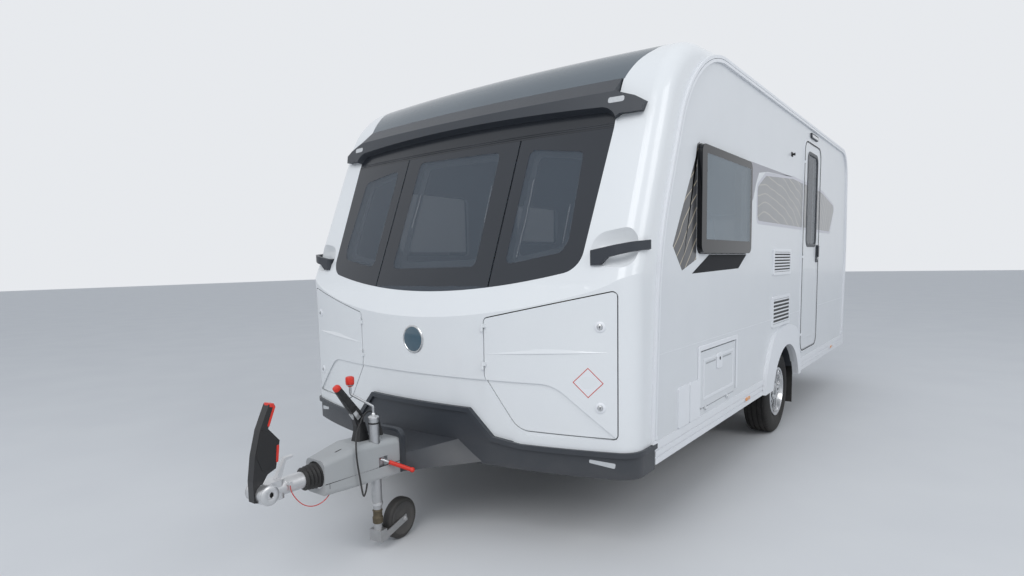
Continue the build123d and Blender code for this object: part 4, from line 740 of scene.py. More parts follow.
# %% Cables at the hitch
LEAD_ROUTE = [
    (26, -612, 531), (26, -612, 568), (26, -622, 612), (26, -644, 648), (26, -676, 662),
    (29, -708, 650), (38, -738, 622), (54, -770, 590), (76, -798, 560), (96, -816, 522),
    (104, -820, 474), (105, -814, 424), (105, -806, 374), (102, -798, 328),
    (92, -784, 296), (76, -764, 288), (64, -744, 304), (60, -733, 335), (60, -731, 368),
    (60, -731, 395),
]
CABLE_ROUTE = [
    (44, -1118, 442), (44, -1118, 426), (47, -1113, 404), (50, -1097, 374),
    (52, -1070, 342), (53, -1034, 322), (51, -998, 316), (49, -964, 322),
    (46, -934, 338), (44, -914, 362), (44, -908, 380), (44, -908, 393),
]
lead_black = finish("lead_black", (0.012, 0.012, 0.013), (0.02, 0.02, 0.021), rough=0.45,
                    grain_scale=500, grain_depth=0.2, dusty=0.3)
cable_red = finish("cable_red", (0.55, 0.02, 0.015), (0.62, 0.03, 0.02), rough=0.3, coat=0.4,
                   grain_scale=900, grain_depth=0.3)
for cord_name, route, surface, wide, length, limber in (
    ("supply_lead", LEAD_ROUTE, lead_black, 0.008, 0.749, "limp"),
    ("breakaway_cable", CABLE_ROUTE, cable_red, 0.004, 0.322, "medium"),
):
    spots = [(x / 1000, along(d), z / 1000) for x, d, z in route]
    cord = bar(cord_name + "_cord", spots, wide / 2, surface, order=3)
    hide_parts(cord_name)
    runs = sum((Vector(b) - Vector(a)).length for a, b in zip(spots, spots[1:]))
    print(cord_name, "runs add up to", round(runs, 3))

# %% [markdown]
# The front panes are bowed sheets with a black border that hides the glue and
# the frame. The border could be a mask in the pane's material. Here it is a thin
# film on each pane, from the pane's edge in to its clear area, because its
# rounded corners are easier to draw as an outline. It follows the panes' bow.

# %% Borders of the front panes
WINDOW_BOW = 8.1
SILL = (-250, 1.215)
WINDOW_LEAN = math.atan2(0.479, 1.180)
BOW_CENTRE = along(SILL[0]) + WINDOW_BOW


def on_window(x, z, proud=0.0):
    """A point on the front windows' surface, or that far in front of it."""
    front = along(SILL[0]) + (z - SILL[1]) * math.tan(WINDOW_LEAN) - proud / math.cos(WINDOW_LEAN)
    radius = BOW_CENTRE - front
    return Vector((x, BOW_CENTRE - math.sqrt(radius**2 - x**2), z))


def sill_line(x):
    """Height of the window opening's curved lower edge."""
    return 1.199 + 0.102 * (x / 0.868) ** 2


# This black is the panes' border film, and painted shade in the locks' key slots.
black_film_and_shade = finish("black_film_and_shade", (0.020, 0.024, 0.031), (0.026, 0.031, 0.040), rough=0.07,
                    grain_scale=300, grain_depth=0.01)
middle_pane = (
    [(-0.398 + 0.796 * k / 20, sill_line(-0.398 + 0.796 * k / 20) + 0.0005) for k in range(21)]
    + [(0.398, 1.9445), (-0.398, 1.9445)]
)
side_corner = rounded([(0.60, sill_line(0.60)), (0.8677, 1.301), (0.9007, 1.9445)], 0.1, 10)[11:22]
side_pane = (
    [(0.406 + 0.35 * k / 14, sill_line(0.406 + 0.35 * k / 14) + 0.0005) for k in range(15)]
    + side_corner + [(0.9004, 1.9445), (0.406, 1.9445)]
)
middle_clear = rounded([(-0.30, 1.316), (0.295, 1.320), (0.287, 1.900), (-0.293, 1.912)], 0.03)
side_clear = rounded(
    [(0.472, 1.328), (0.56, 1.341), (0.76, 1.376), (0.788, 1.43), (0.772, 1.845), (0.474, 1.890)], 0.03
)


def mirrored(outline):
    """The same outline on the other side of the middle."""
    return [(-u, v) for u, v in reversed(outline)]


border = ring(middle_pane, middle_clear, on_window, 0.0001, 0.0006)
ring(side_pane, side_clear, on_window, 0.0001, 0.0006, into=border)
ring(mirrored(side_pane), mirrored(side_clear), on_window, 0.0001, 0.0006, into=border)
add_piece("front_pane_borders", border, black_film_and_shade)
print("pane borders on the bow, centre at y =", round(BOW_CENTRE, 3))

# %% [markdown]
# Behind each clear area a grey frame stands round the inside of the window, and
# slim silver stays hold the panes. They show through as bright lines.

# %% Inner frames and stays
frame_grey = finish("frame_grey", (0.20, 0.21, 0.22), (0.26, 0.27, 0.28), rough=0.5,
                    grain_scale=400, grain_depth=0.1)
stay_metal = finish("stay_metal", (0.72, 0.73, 0.74), (0.80, 0.80, 0.81), rough=0.25, metal=0.8,
                    grain_scale=300, grain_depth=0.05)
middle_inner = [(u * 0.86, 1.61 + (v - 1.61) * 0.88) for u, v in middle_clear]
side_inner = [(0.63 + (u - 0.63) * 0.80, 1.61 + (v - 1.61) * 0.88) for u, v in side_clear]
liner_shape = ring(middle_clear, middle_inner, on_window, -0.052, -0.040)
ring(side_clear, side_inner, on_window, -0.052, -0.040, into=liner_shape)
ring(mirrored(side_clear), mirrored(side_inner), on_window, -0.052, -0.040,
     into=liner_shape)
add_piece("front_window_liners", liner_shape, frame_grey, edge=0.002)
stay_lines = [
    ((0.505, 1.36), (0.512, 1.54), (0.508, 1.74)),
    ((-0.262, 1.54), (-0.256, 1.73)),
    ((0.742, 1.42), (0.738, 1.60)),
    ((-0.508, 1.36), (-0.512, 1.54), (-0.508, 1.74)),
    ((0.262, 1.54), (0.256, 1.73)),
]
for number, line in enumerate(stay_lines):
    bar(f"window_stay_{number}", [on_window(x, z, -0.030) for x, z in line], 0.0035, stay_metal)
print("stays:", len(stay_lines))

# %% [markdown]
# The lintel above the panes is a bare black strip with two fine ribs along its
# lower edge. A bump in the material would show them too, but they catch light
# along their edge only when they are really raised.

# %% Lintel ribs
ribs = bmesh.new()
for height in (1.956, 1.966):
    steps = 48
    half = 0.8985
    low_edge = [(-half + 2 * half * k / steps, height) for k in range(steps + 1)]
    high_edge = [(u, height + 0.0025) for u, v in reversed(low_edge)]
    plate(low_edge + high_edge, on_window, -0.0005, 0.0012, into=ribs)
add_piece("lintel_ribs", ribs, dark_moulding)
print("lintel ribs laid")

# %% [markdown]
# The lower front is an upright bow. Two functions give a point on it and the
# direction straight out of it, so that each fitting is placed by its x and its
# height and stands square to the surface there. A shrinkwrap could press the
# fittings on, but it would bend them.

# %% Places on the lower front
NOSE_BOW = 3.066
NOSE_FRONT = along(-352)


def on_nose(x, z, proud=0.0):
    """A point on the lower front's upright bow, or that far in front of it."""
    turn = math.asin(x / NOSE_BOW)
    radius = NOSE_BOW + proud
    return Vector((radius * math.sin(turn), NOSE_FRONT + NOSE_BOW - radius * math.cos(turn), z))


def nose_axis(x):
    """The direction straight out of the lower front at x."""
    turn = math.asin(x / NOSE_BOW)
    return Vector((math.sin(turn), -math.cos(turn), 0))


def facing(spot, aim):
    """A place function for a small flat piece at a spot, facing the way of aim."""
    across = Vector((-aim.y, aim.x, 0))
    return lambda u, v, w: spot + aim * w + across * u + Vector((0, 0, v))


print("nose at y =", round(NOSE_FRONT, 3))

# %% [markdown]
# Each locker door has two locks: a white collar, a bright barrel and a key slot,
# which is a black plate of painted shade for the keyway. They are turned from
# profiles and ride with the door. The round badge on the nose is blank, with a
# bright rim and a dark face.

# %% Locks and the blank disc
chrome = finish("chrome", (0.55, 0.56, 0.57), (0.65, 0.66, 0.67), rough=0.18, metal=1.0,
                grain_scale=300, grain_depth=0.05)
disc_blue = finish("disc_blue", (0.030, 0.075, 0.110), (0.040, 0.095, 0.135), rough=0.2, coat=0.8,
                   scale=40, grain_scale=200, grain_depth=0.05)
LOCK_X = 0.981
for side, name in SIDES:
    for height in (1.052, 0.697):
        spot = on_nose(side * LOCK_X, height)
        aim = nose_axis(side * LOCK_X)
        body = f"{name}_locker"
        tag = f"{name}_{round(height * 1000)}"
        add_piece(f"lock_collar_{tag}", turned(
            [(0.0, -0.001), (0.024, -0.001), (0.024, 0.002), (0.020, 0.005), (0.014, 0.006),
             (0.012, 0.003), (0.0, 0.003)], spot, aim), rail_white, body)
        add_piece(f"lock_barrel_{tag}", turned(
            [(0.0, 0.0025), (0.0118, 0.0025), (0.0118, 0.0065), (0.0095, 0.0078), (0.0035, 0.0078),
             (0.003, 0.0055), (0.0, 0.0055)], spot, aim), chrome, body)
        # The key slot is a black plate of painted shade for the keyway.
        slot = plate([(-0.0011, -0.006), (0.0011, -0.006), (0.0011, 0.006), (-0.0011, 0.006)],
                     facing(spot, aim), 0.0050, 0.0081)
        add_piece(f"lock_slot_shade_{tag}", slot, black_film_and_shade, body)

disc_spot, disc_aim = on_nose(0, 0.962), nose_axis(0)
add_piece("nose_disc", turned(
    [(0.0, -0.001), (0.071, -0.001), (0.072, 0.003), (0.069, 0.006), (0.064, 0.0065),
     (0.062, 0.0045), (0.0, 0.0075)], disc_spot, disc_aim, 64), chrome)
add_piece("nose_disc_face", turned(
    [(0.0, 0.004), (0.0615, 0.004), (0.0615, 0.0052), (0.056, 0.0068), (0.0, 0.0088)],
    disc_spot, disc_aim, 64), disc_blue)
print("locks and disc placed")

# %% [markdown]
# The near locker door carries a blank white square on its corner, outlined in
# red. It is a print, so it is two plates a fraction of a millimetre thick.

# %% Blank square
line_red = finish("line_red", (0.55, 0.05, 0.03), (0.62, 0.08, 0.05), rough=0.4,
                  grain_scale=500, grain_depth=0.05)
square = [(0.864, 0.806), (0.930, 0.739), (0.995, 0.806), (0.930, 0.873)]
inner_square = [(0.930 + (u - 0.930) * 0.93, 0.806 + (v - 0.806) * 0.93) for u, v in square]
add_piece("square_field", plate(square, on_nose, -0.0004, 0.0004), rail_white, "near_locker")
add_piece("square_line", ring(square, inner_square, on_nose, 0.0004, 0.0007), line_red, "near_locker")
print("square laid, width", round(square[2][0] - square[0][0], 3))

# %% [markdown]
# A crease runs across each locker door and swells in the middle. It could be
# sculpted into the door, but the solid door stays as it is. So the crease is a
# slim raised lip of the same white, with three rows of corners that fade into
# the surface at both ends.

# %% Creases of the locker doors
CREASE_FROM, CREASE_TO = 0.446, 1.012
for side, tag in SIDES:
    crease = bmesh.new()
    count = 30
    rows = []
    for k in range(count + 1):
        share = k / count
        x = CREASE_FROM + share * (CREASE_TO - CREASE_FROM)
        base = 0.912 + share * 0.028
        rise = 0.016 * math.sin(math.pi * share) ** 1.5 * (1.25 if share > 0.4 else 1.0)
        low_spot = on_nose(x, base, -0.0005)
        lip = on_nose(x, base + 0.0015, 0.0042 * math.sin(math.pi * share) ** 0.7 + 0.0001)
        high_spot = on_nose(x, base + 0.004 + rise, -0.0005)
        rows.append([crease.verts.new((side * v.x, v.y, v.z)) for v in (low_spot, lip, high_spot)])
    skin(crease, rows, capped=False)
    add_piece(f"locker_crease_{tag}", crease, moulded_white, f"{tag}_locker", smooth=20)
print("creases laid from x =", CREASE_FROM, "to", CREASE_TO)

# %% [markdown]
# The side walls are flat, so a fitting there is placed by its distance behind
# the rail foot, its height, and how far it stands out. Films and prints are
# plates a fraction of a millimetre thick, which keeps them from flickering
# through the wall.

# %% Side wall places
def on_side(distance, height, proud=0.0, side=1):
    """A point on a side wall, or that far out of it; the distance is in metres."""
    return Vector((side * (WALL + proud), along(distance * 1000), height))


def side_place(side):
    """A place function for one side wall: 1 is the door side, -1 the far side."""
    return lambda u, v, w: on_side(u, v, w, side)


def box_outline(front, rear, low, high, radius, grow=0.0):
    """A rounded rectangle, made larger or smaller by grow on every side."""
    corners = [(front - grow, low - grow), (rear + grow, low - grow),
               (rear + grow, high + grow), (front - grow, high + grow)]
    return rounded(corners, max(radius + grow, 0.001))


near_wall, far_wall = side_place(1), side_place(-1)
print("door side wall at x =", WALL)

# %% [markdown]
# The side decals are printed film. In front of the lounge window is a charcoal
# field with thin gold lines, and behind it a long grey band with a pale edge
# that runs on over the door. The lines could be drawn as curves. They are a
# plain ripple made of rings, in the material, so the film stays a simple plate
# and the pattern runs on from wall to door.

# %% Printed film
def printed(name, tone, other, line_tone, rings, thin):
    """Film with fine ripple lines in a second colour."""
    made, tree, bsdf = new_material(name)
    bsdf.inputs["Roughness"].default_value = 0.3
    bsdf.inputs["Coat Weight"].default_value = 0.3
    tones = place_group(tree, drift, Tone_A=(*tone, 1), Tone_B=(*other, 1), Scale=5.0)
    place = node(tree, "TexCoord")
    ripple = node(tree, "TexWave", wave_type="RINGS", rings_direction="X", Scale=rings,
                  Distortion=5.5, Detail=1.0, **{"Detail Scale": 0.6})
    crest = node(tree, "MapRange", **{"From Min": thin, "From Max": 1.0})
    join(tree, place.outputs["Object"], ripple.inputs["Vector"])
    join(tree, ripple.outputs["Fac"], crest.inputs["Value"])
    lined = mix_tones(tree, crest.outputs[0], tones.outputs["Color"], line_tone)
    join(tree, lined, bsdf.inputs["Base Color"])
    return made


print("film pattern is ready")

# %% [markdown]
# The film's outlines are drawn once in wall places. Windows and the door break
# the long band, so a function cuts an outline between two distances. Each
# stretch then lies on its wall or rides with the door.

# %% Decals on the walls and the door
charcoal_print = printed("charcoal_print", (0.022, 0.023, 0.026), (0.09, 0.09, 0.095),
                         (0.55, 0.47, 0.34), 5.4, 0.965)
band_print = printed("band_print", (0.19, 0.195, 0.20), (0.27, 0.27, 0.275),
                     (0.40, 0.38, 0.34), 4.6, 0.93)
band_edge = finish("band_edge", (0.52, 0.52, 0.57), (0.60, 0.60, 0.64), rough=0.35,
                   grain_scale=500, grain_depth=0.03)
wedge_grey = finish("wedge_grey", (0.30, 0.30, 0.33), (0.36, 0.36, 0.39), rough=0.35,
                    grain_scale=500, grain_depth=0.03)

front_field = [(0.585, 1.919), (0.250, 1.398), (0.366, 1.281), (0.552, 1.333), (0.552, 1.905)]
name_field = [(0.496, 1.263), (0.742, 1.358), (1.402, 1.358), (1.244, 1.276)]
wedge = [(1.420, 1.925), (2.540, 1.936), (1.840, 1.902), (1.640, 1.876), (1.575, 1.800), (1.520, 1.700),
         (1.420, 1.650)]
band_shape = rounded([(1.600, 1.552), (1.600, 1.800), (1.790, 1.893), (2.541, 1.944), (3.620, 1.924),
                      (4.250, 1.824), (4.020, 1.552)], 0.05, 8)
band_inner = rounded([(1.622, 1.574), (1.620, 1.788), (1.806, 1.872), (2.541, 1.922), (3.612, 1.902),
                      (4.218, 1.812), (3.998, 1.574)], 0.04, 8)


def cut_between(outline, low, high):
    """The part of an outline between two distances along the wall."""
    for limit, keep in ((low, 1), (high, -1)):
        kept = []
        for i, (u, v) in enumerate(outline):
            before_u, before_v = outline[i - 1]
            inside = keep * (u - limit) >= 0
            if inside != (keep * (before_u - limit) >= 0):
                share = (limit - before_u) / (u - before_u)
                kept.append((limit, before_v + share * (v - before_v)))
            if inside:
                kept.append((u, v))
        outline = kept
    return outline


for place, tag in ((near_wall, "near"), (far_wall, "far")):
    add_piece(f"front_print_{tag}", plate(front_field, place, 0.0001, 0.0005), charcoal_print)
    add_piece(f"name_field_{tag}", plate(name_field, place, 0.0001, 0.0005), print_black)
    add_piece(f"wedge_{tag}", plate(wedge, place, 0.0001, 0.0004), wedge_grey)
stretches = [("near_front", near_wall, 1.60, 2.865, 0.0, "caravan"),
             ("near_rear", near_wall, 3.505, 4.26, 0.0, "caravan"),
             ("door_front", near_wall, 2.892, 2.990, 0.006, "entrance_door"),
             ("door_rear", near_wall, 3.386, 3.478, 0.006, "entrance_door"),
             ("far_front", far_wall, 1.60, 1.99, 0.0, "caravan"),
             ("far_rear", far_wall, 2.77, 4.26, 0.0, "caravan")]
for tag, place, low, high, proud, body in stretches:
    edge_part = cut_between(band_shape, low, high)
    inner_part = cut_between(band_inner, low, high)
    add_piece(f"band_edge_{tag}", plate(edge_part, place, proud + 0.0001, proud + 0.0004), band_edge, body)
    add_piece(f"band_{tag}", plate(inner_part, place, proud + 0.0004, proud + 0.0008), band_print, body)
print("decal stretches:", len(stretches))

# %% [markdown]
# A rubber seal closes the joint between each side window's lid and the wall, and
# a rail runs along the lid's lower edge inside. Both follow the lid's rounded
# rectangle, so a ring and a plate from that outline fit without measuring.

# %% Side window seals
SIDE_LIDS = [(1, 0.560, 1.410, 1.365, 1.910), (-1, 0.560, 1.410, 1.365, 1.910),
             (-1, 2.000, 2.760, 1.480, 1.900), (-1, 4.130, 4.480, 1.500, 1.900)]
# This black is rubber on the seals, the catch and the locker keys, and painted shade behind the vents and
# in the hitch cover's joint and slot.
rubber_and_painted_shade = finish("rubber_and_painted_shade", (0.014, 0.014, 0.015), (0.022, 0.022, 0.023), rough=0.55,
                     grain_scale=800, grain_depth=0.15)
for number, (side, front, rear, low, high) in enumerate(SIDE_LIDS):
    rim_out = box_outline(front, rear, low, high, 0.045, 0.004)
    rim_in = box_outline(front, rear, low, high, 0.045, -0.012)
    add_piece(f"lid_seal_{number}", ring(rim_out, rim_in, side_place(side), -0.0005, 0.0035), rubber_and_painted_shade)
    rail_low = box_outline(front + 0.06, rear - 0.04, low + 0.030, low + 0.046, 0.006)
    add_piece(f"lid_rail_{number}", plate(rail_low, side_place(side), 0.006, 0.0160), dark_moulding,
              edge=0.002)
print("side window lids:", len(SIDE_LIDS))

# %% [markdown]
# The entrance door has a dark seal round its joint, a dark frame round its
# window and a pressed line in its lower half. A small lamp sits over the door,
# and a catch on the wall holds it open. The seal stays with the frame and the
# other pieces ride with the door, so nothing is torn when it swings.

# %% Entrance door fittings
DOOR = (2.885, 3.485, 0.572, 2.255)
DOOR_PANE = (3.010, 3.365, 1.440, 2.170)
door_line = box_outline(*DOOR, 0.085)
add_piece("door_seal", ring(box_outline(*DOOR, 0.085, 0.007), door_line, near_wall, 0.0075, 0.0105,
                            extra=48), rubber_and_painted_shade)
pane_edge = box_outline(*DOOR_PANE, 0.05, 0.020)
pane_inner = box_outline(*DOOR_PANE, 0.05, -0.006)
add_piece("door_pane_frame", ring(pane_edge, pane_inner, near_wall, 0.0058, 0.0100), dark_moulding,
          "entrance_door", edge=0.0015)
press_low = box_outline(2.945, 3.425, 0.660, 1.245, 0.04)
press_in = box_outline(2.945, 3.425, 0.660, 1.245, 0.04, -0.012)
add_piece("door_pressing", ring(press_low, press_in, near_wall, 0.0055, 0.0078), sheet_white,
          "entrance_door", edge=0.001)
key_spot = Vector((WALL + 0.0152, along(3420), 1.322))
add_piece("door_lock", turned([(0, 0), (0.013, 0), (0.013, 0.003), (0.011, 0.004), (0, 0.004)],
                              key_spot, (1, 0, 0)), chrome, "entrance_door")
lamp_body = box_outline(3.085, 3.345, 2.305, 2.345, 0.015)
add_piece("door_lamp_body", plate(lamp_body, near_wall, -0.0005, 0.013), dark_moulding, edge=0.003)
lamp_lens = box_outline(3.105, 3.325, 2.311, 2.333, 0.008)
add_piece("door_lamp_lens", plate(lamp_lens, near_wall, 0.012, 0.0155), lens_clear, edge=0.002)
catch_plate = box_outline(2.462, 2.512, 2.080, 2.112, 0.008)
add_piece("door_catch_plate", plate(catch_plate, near_wall, -0.0005, 0.004), rubber_and_painted_shade, edge=0.001)
add_piece("door_catch", turned([(0, 0), (0.008, 0), (0.008, 0.012), (0.011, 0.015), (0.010, 0.020),
                                (0, 0.021)], on_side(2.488, 2.096, 0.003), (1, 0, 0), 24), rubber_and_painted_shade)
print("door fittings placed")

# %% [markdown]
# Real vents are open behind their louvres, and shade fills the opening. Here the
# wall runs on behind them, so a thin dark plate of painted shade stands in for
# the opening.

# %% Painted shade behind the vents
for low, high in ((1.212, 1.398), (0.842, 1.062)):
    shade_outline = box_outline(2.037, 2.488, low + 0.022, high - 0.022, 0.004)
    add_piece(f"vent_painted_shade_{round(low * 1000)}", plate(shade_outline, near_wall, 0.0028, 0.0036), rubber_and_painted_shade)
print("vents backed")

# %% [markdown]
# Both wall lockers have a raised frame on the wall, a pressed border on the lid,
# a latch and two grip lines. The frame is open at the bottom, where the lid's
# hinge lies, so it is drawn as one outline of eight corners. The rest is plates
# and a ring that ride with the lid.

# %% Wall lockers
for side, body, front, rear, low, high in ((1, "battery_hatch", 0.622, 1.212, 0.540, 0.852),
                                           (-1, "service_hatch", 3.930, 4.330, 0.545, 0.900)):
    place = side_place(side)
    frame_line = [(front - 0.030, low + 0.016), (front - 0.002, low + 0.016), (front - 0.002, high + 0.002),
                  (rear + 0.002, high + 0.002), (rear + 0.002, low + 0.016), (rear + 0.030, low + 0.016),
                  (rear + 0.030, high + 0.030), (front - 0.030, high + 0.030)]
    shape = bmesh.new()
    under = [shape.verts.new(place(u, v, -0.0003)) for u, v in frame_line]
    over = [shape.verts.new(place(u, v, 0.0075)) for u, v in frame_line]
    for a, b, c, d in ((0, 1, 2, 7), (2, 3, 6, 7), (3, 4, 5, 6)):
        shape.faces.new((over[a], over[b], over[c], over[d]))
        shape.faces.new((under[d], under[c], under[b], under[a]))
    for i in range(8):
        j = (i + 1) % 8
        shape.faces.new((under[i], under[j], over[j], over[i]))
    add_piece(f"{body}_frame", shape, rail_white, edge=0.003)
    inset = box_outline(front, rear, low, high, 0.022, -0.045)
    inner = box_outline(front, rear, low, high, 0.022, -0.060)
    add_piece(f"{body}_border", ring(inset, inner, place, 0.0018, 0.0048), rail_white, body, edge=0.001)
    middle = (front + rear) / 2
    for tag, left, right_end in (("a", front + 0.085, middle - 0.055), ("b", middle + 0.055, rear - 0.085)):
        grip = box_outline(left, right_end, high - 0.078, high - 0.070, 0.003)
        add_piece(f"{body}_grip_{tag}", plate(grip, place, 0.0018, 0.0026), cover_grey, body)
    latch = box_outline(middle - 0.042, middle + 0.042, high - 0.128, high - 0.040, 0.012)
    add_piece(f"{body}_latch", plate(latch, place, 0.0018, 0.0085), rail_white, body, edge=0.0025)
    add_piece(f"{body}_key", turned([(0, 0), (0.009, 0), (0.009, 0.002), (0, 0.002)],
                                    on_side(middle, high - 0.072, 0.0082, side), (side, 0, 0), 24),
              rubber_and_painted_shade, body)
print("wall lockers dressed")

# %% [markdown]
# The wall is made of two sheets, and a fine strip covers their joint. It stops
# at the vents and at the door, so it is laid in stretches.

# %% Strip over the sheet joint
for side, tag, breaks in ((1, "near", ((0.104, 2.012), (2.513, 2.866), (3.504, 4.86))),
                          (-1, "far", ((0.104, 4.86),))):
    for part_number, (front, rear) in enumerate(breaks):
        seam = [(front, 0.9020), (rear, 0.9020), (rear, 0.9050), (front, 0.9050)]
        add_piece(f"sheet_joint_{tag}_{part_number}", plate(seam, side_place(side), 0.0001, 0.0009),
                  rail_white)
print("joint covered")

# %% [markdown]
# Amber side markers sit in the skirts: a white back and a lens with soft edges.
# A bevel on the plate's edge gives the lens its soft rim.

# %% Side markers
lens_amber = finish("lens_amber", (0.70, 0.22, 0.01), (0.80, 0.30, 0.02), rough=0.15, coat=0.8,
                    scale=60, grain_scale=300, grain_depth=0.3)
for side, tag in SIDES:
    for number, spot in enumerate((1.46, 4.257)):
        back = box_outline(spot - 0.052, spot + 0.052, 0.432, 0.460, 0.01)
        glow = box_outline(spot - 0.045, spot + 0.045, 0.435, 0.457, 0.008)
        add_piece(f"marker_back_{tag}_{number}", plate(back, side_place(side), 0.0036, 0.0066),
                  rail_white, edge=0.001)
        add_piece(f"marker_lens_{tag}_{number}", plate(glow, side_place(side), 0.0064, 0.0125),
                  lens_amber, edge=0.003)
print("markers placed")

# %% [markdown]
# The hitch is what a visitor meets first, so its small parts are made one by
# one: the grips and their red tips, the cover's joint, the caps on the coupling
# and the fittings on the jockey wheel. A sleeve is a bar with a rounded section
# that changes along its length; it makes the grips.

# %% Sleeves over the levers
def square_circle(count, power):
    """Points round a unit circle pulled towards a square; power 1 keeps the circle."""
    angles = [2 * math.pi * k / count for k in range(count)]
    return [tuple(math.copysign(abs(c) ** power, c) for c in (math.cos(a), math.sin(a))) for a in angles]


def sleeve(name, stations, surface, body="caravan", count=28, square=3.0):
    """A bar through stations: centre, and the half sizes along two axes."""
    shape = bmesh.new()
    loops = []
    for centre, wide, deep in stations:
        spots = [Vector(centre) + Vector(wide) * u + Vector(deep) * v
                 for u, v in square_circle(count, 2 / square)]
        loops.append([shape.verts.new(spot) for spot in spots])
    return add_piece(name, skin(shape, loops), surface, body)


def lever_stations(start, end, spec, half_wide):
    """Stations along a lever in the middle plane, from (share of the way, half depth, trim)."""
    first = Vector((0, along(start[0]), start[1] / 1000))
    last = Vector((0, along(end[0]), end[1] / 1000))
    run = (last - first).normalized()
    across = Vector((0, -run.z, run.y))
    return [(first.lerp(last, share), Vector((half_wide * trim, 0, 0)), across * depth)
            for share, depth, trim in spec]


grip_black = finish("grip_black", (0.010, 0.010, 0.011), (0.016, 0.016, 0.017), rough=0.5,
                    grain_scale=1100, grain_depth=0.5, dusty=0.1, dust_top=0.5)
brake_start, brake_end = (-734, 655), (-834, 794)
sleeve("brake_grip", lever_stations(brake_start, brake_end, [
    (0.16, 0.0150, 0.90), (0.18, 0.0215, 1.0), (0.30, 0.0205, 1.0), (0.34, 0.0190, 0.96),
    (0.38, 0.0205, 1.0), (0.50, 0.0195, 1.0), (0.54, 0.0180, 0.96), (0.58, 0.0192, 1.0),
    (0.72, 0.0180, 1.0), (0.76, 0.0168, 0.96), (0.80, 0.0175, 1.0), (0.93, 0.0165, 1.0),
], 0.0165), grip_black)
sleeve("brake_tip", lever_stations(brake_start, brake_end, [
    (0.925, 0.0150, 0.96), (0.935, 0.0172, 1.02), (1.0, 0.0168, 1.0), (1.03, 0.0150, 0.9),
    (1.045, 0.0100, 0.65)], 0.0165), grip_red)
sleeve("brake_shank", lever_stations((-722, 628), brake_end, [
    (0.02, 0.0226, 1.0), (0.24, 0.0222, 1.0)], 0.0136), zinc_bright)
knob_foot = (-0.006, along(-753), 0.786)
add_piece("crank_knob", turned(
    [(0, -0.001), (0.010, -0.001), (0.0125, 0.004), (0.0185, 0.010), (0.0200, 0.018), (0.0200, 0.038),
     (0.0180, 0.044), (0.0120, 0.0465), (0, 0.0468)], knob_foot, (0, 0, 1)), grip_red)
clamp_foot = Vector((0.086, along(-672), 0.438))
clamp_run = Vector((0.170, along(-552), 0.368)) - clamp_foot
add_piece("clamp_shank", turned([(0.0050, 0.001), (0.0057, 0.002), (0.0057, 0.043), (0.0050, 0.044)],
                                clamp_foot, clamp_run.normalized(), 24), zinc_bright)
print("grips placed")

# %% [markdown]
# The stabiliser's tall handle is black with a red strip along its upper grip, a
# red cap and a bare red panel near its rear edge. The coupling's discs get domed
# caps with a dark plug in their eye.

# %% Stabiliser handle and coupling caps
def profile_plate(name, outline, low, high, surface, side, edge=0.0):
    """A plate seen from the side, between two distances from the middle plane."""
    def place(u, v, w):
        return Vector((side * w, along(u), v / 1000))

    return add_piece(name, plate(outline, place, low, high), surface, edge=edge)


for side, tag in SIDES:
    profile_plate(f"handle_skin_{tag}", rounded(
        [(-1246, 590), (-1222, 520), (-1166, 534), (-1146, 630), (-1190, 684), (-1218, 690)], 10),
        0.0195, 0.0225, grip_black, side, edge=0.002)
    profile_plate(f"handle_groove_{tag}", [(-1238, 600), (-1232, 600), (-1208, 690), (-1214, 690)],
                  0.0224, 0.0230, soft_black, side)
    profile_plate(f"grip_strip_{tag}", rounded([(-1190, 700), (-1181, 699), (-1148, 776), (-1157, 780)], 3),
                  0.0195, 0.0218, grip_red, side, edge=0.001)
    panel = rounded([(-1163, 545), (-1152, 545), (-1143, 614), (-1154, 617)], 4)
    profile_plate(f"handle_panel_{tag}", panel, 0.0222, 0.0242, grip_red, side, edge=0.001)
    add_piece(f"disc_cap_{tag}", turned(
        [(0.0135, 0.0), (0.0150, 0.0030), (0.0240, 0.0055), (0.0350, 0.0035), (0.0412, -0.0010),
         (0.0425, -0.0060)], (side * 0.0580, along(-1217), 0.430), (side, 0, 0), 64), zinc_bright)
    add_piece(f"disc_plug_{tag}", turned(
        [(0, 0.0), (0.0128, 0.0), (0.0128, 0.0015), (0.0070, 0.0010), (0, 0.0005)],
        (side * 0.0475, along(-1207), 0.430), (side, 0, 0), 32), soft_black)
sleeve("handle_cap", [
    (Vector((0, along(-1163), 0.774)), Vector((0.0212, 0, 0)), Vector((0, 0.0158, -0.005))),
    (Vector((0, along(-1163), 0.784)), Vector((0.0212, 0, 0)), Vector((0, 0.0152, -0.004))),
    (Vector((0, along(-1163), 0.790)), Vector((0.0190, 0, 0)), Vector((0, 0.0130, -0.003)))],
    grip_red, square=4.0)
sleeve("handle_edge", [
    (Vector((0, along(-1182), 0.698)), Vector((0.0205, 0, 0)), Vector((0, 0.0030, -0.001))),
    (Vector((0, along(-1151), 0.772)), Vector((0.0205, 0, 0)), Vector((0, 0.0030, -0.001)))],
    grip_red, square=5.0)
print("coupling dressed")

# %% [markdown]
# The hitch cover is moulded in two halves. Their joint shows as a dark line low
# on each side, where shade falls in the groove, and a small slot lies on top. A
# groove cut with a modifier would change the solid cover, so each line, and the
# slot too, is a dark strip of painted shade set just proud of it. The cover
# widens towards the rear, so its sides are read from the same sections.

# %% Painted shade in the joint of the hitch cover
COVER_SIDES = ((-965, 0.066), (-790, 0.088), (-560, 0.104))
COVER_TOP = ((-965, 0.500), (-790, 0.530))


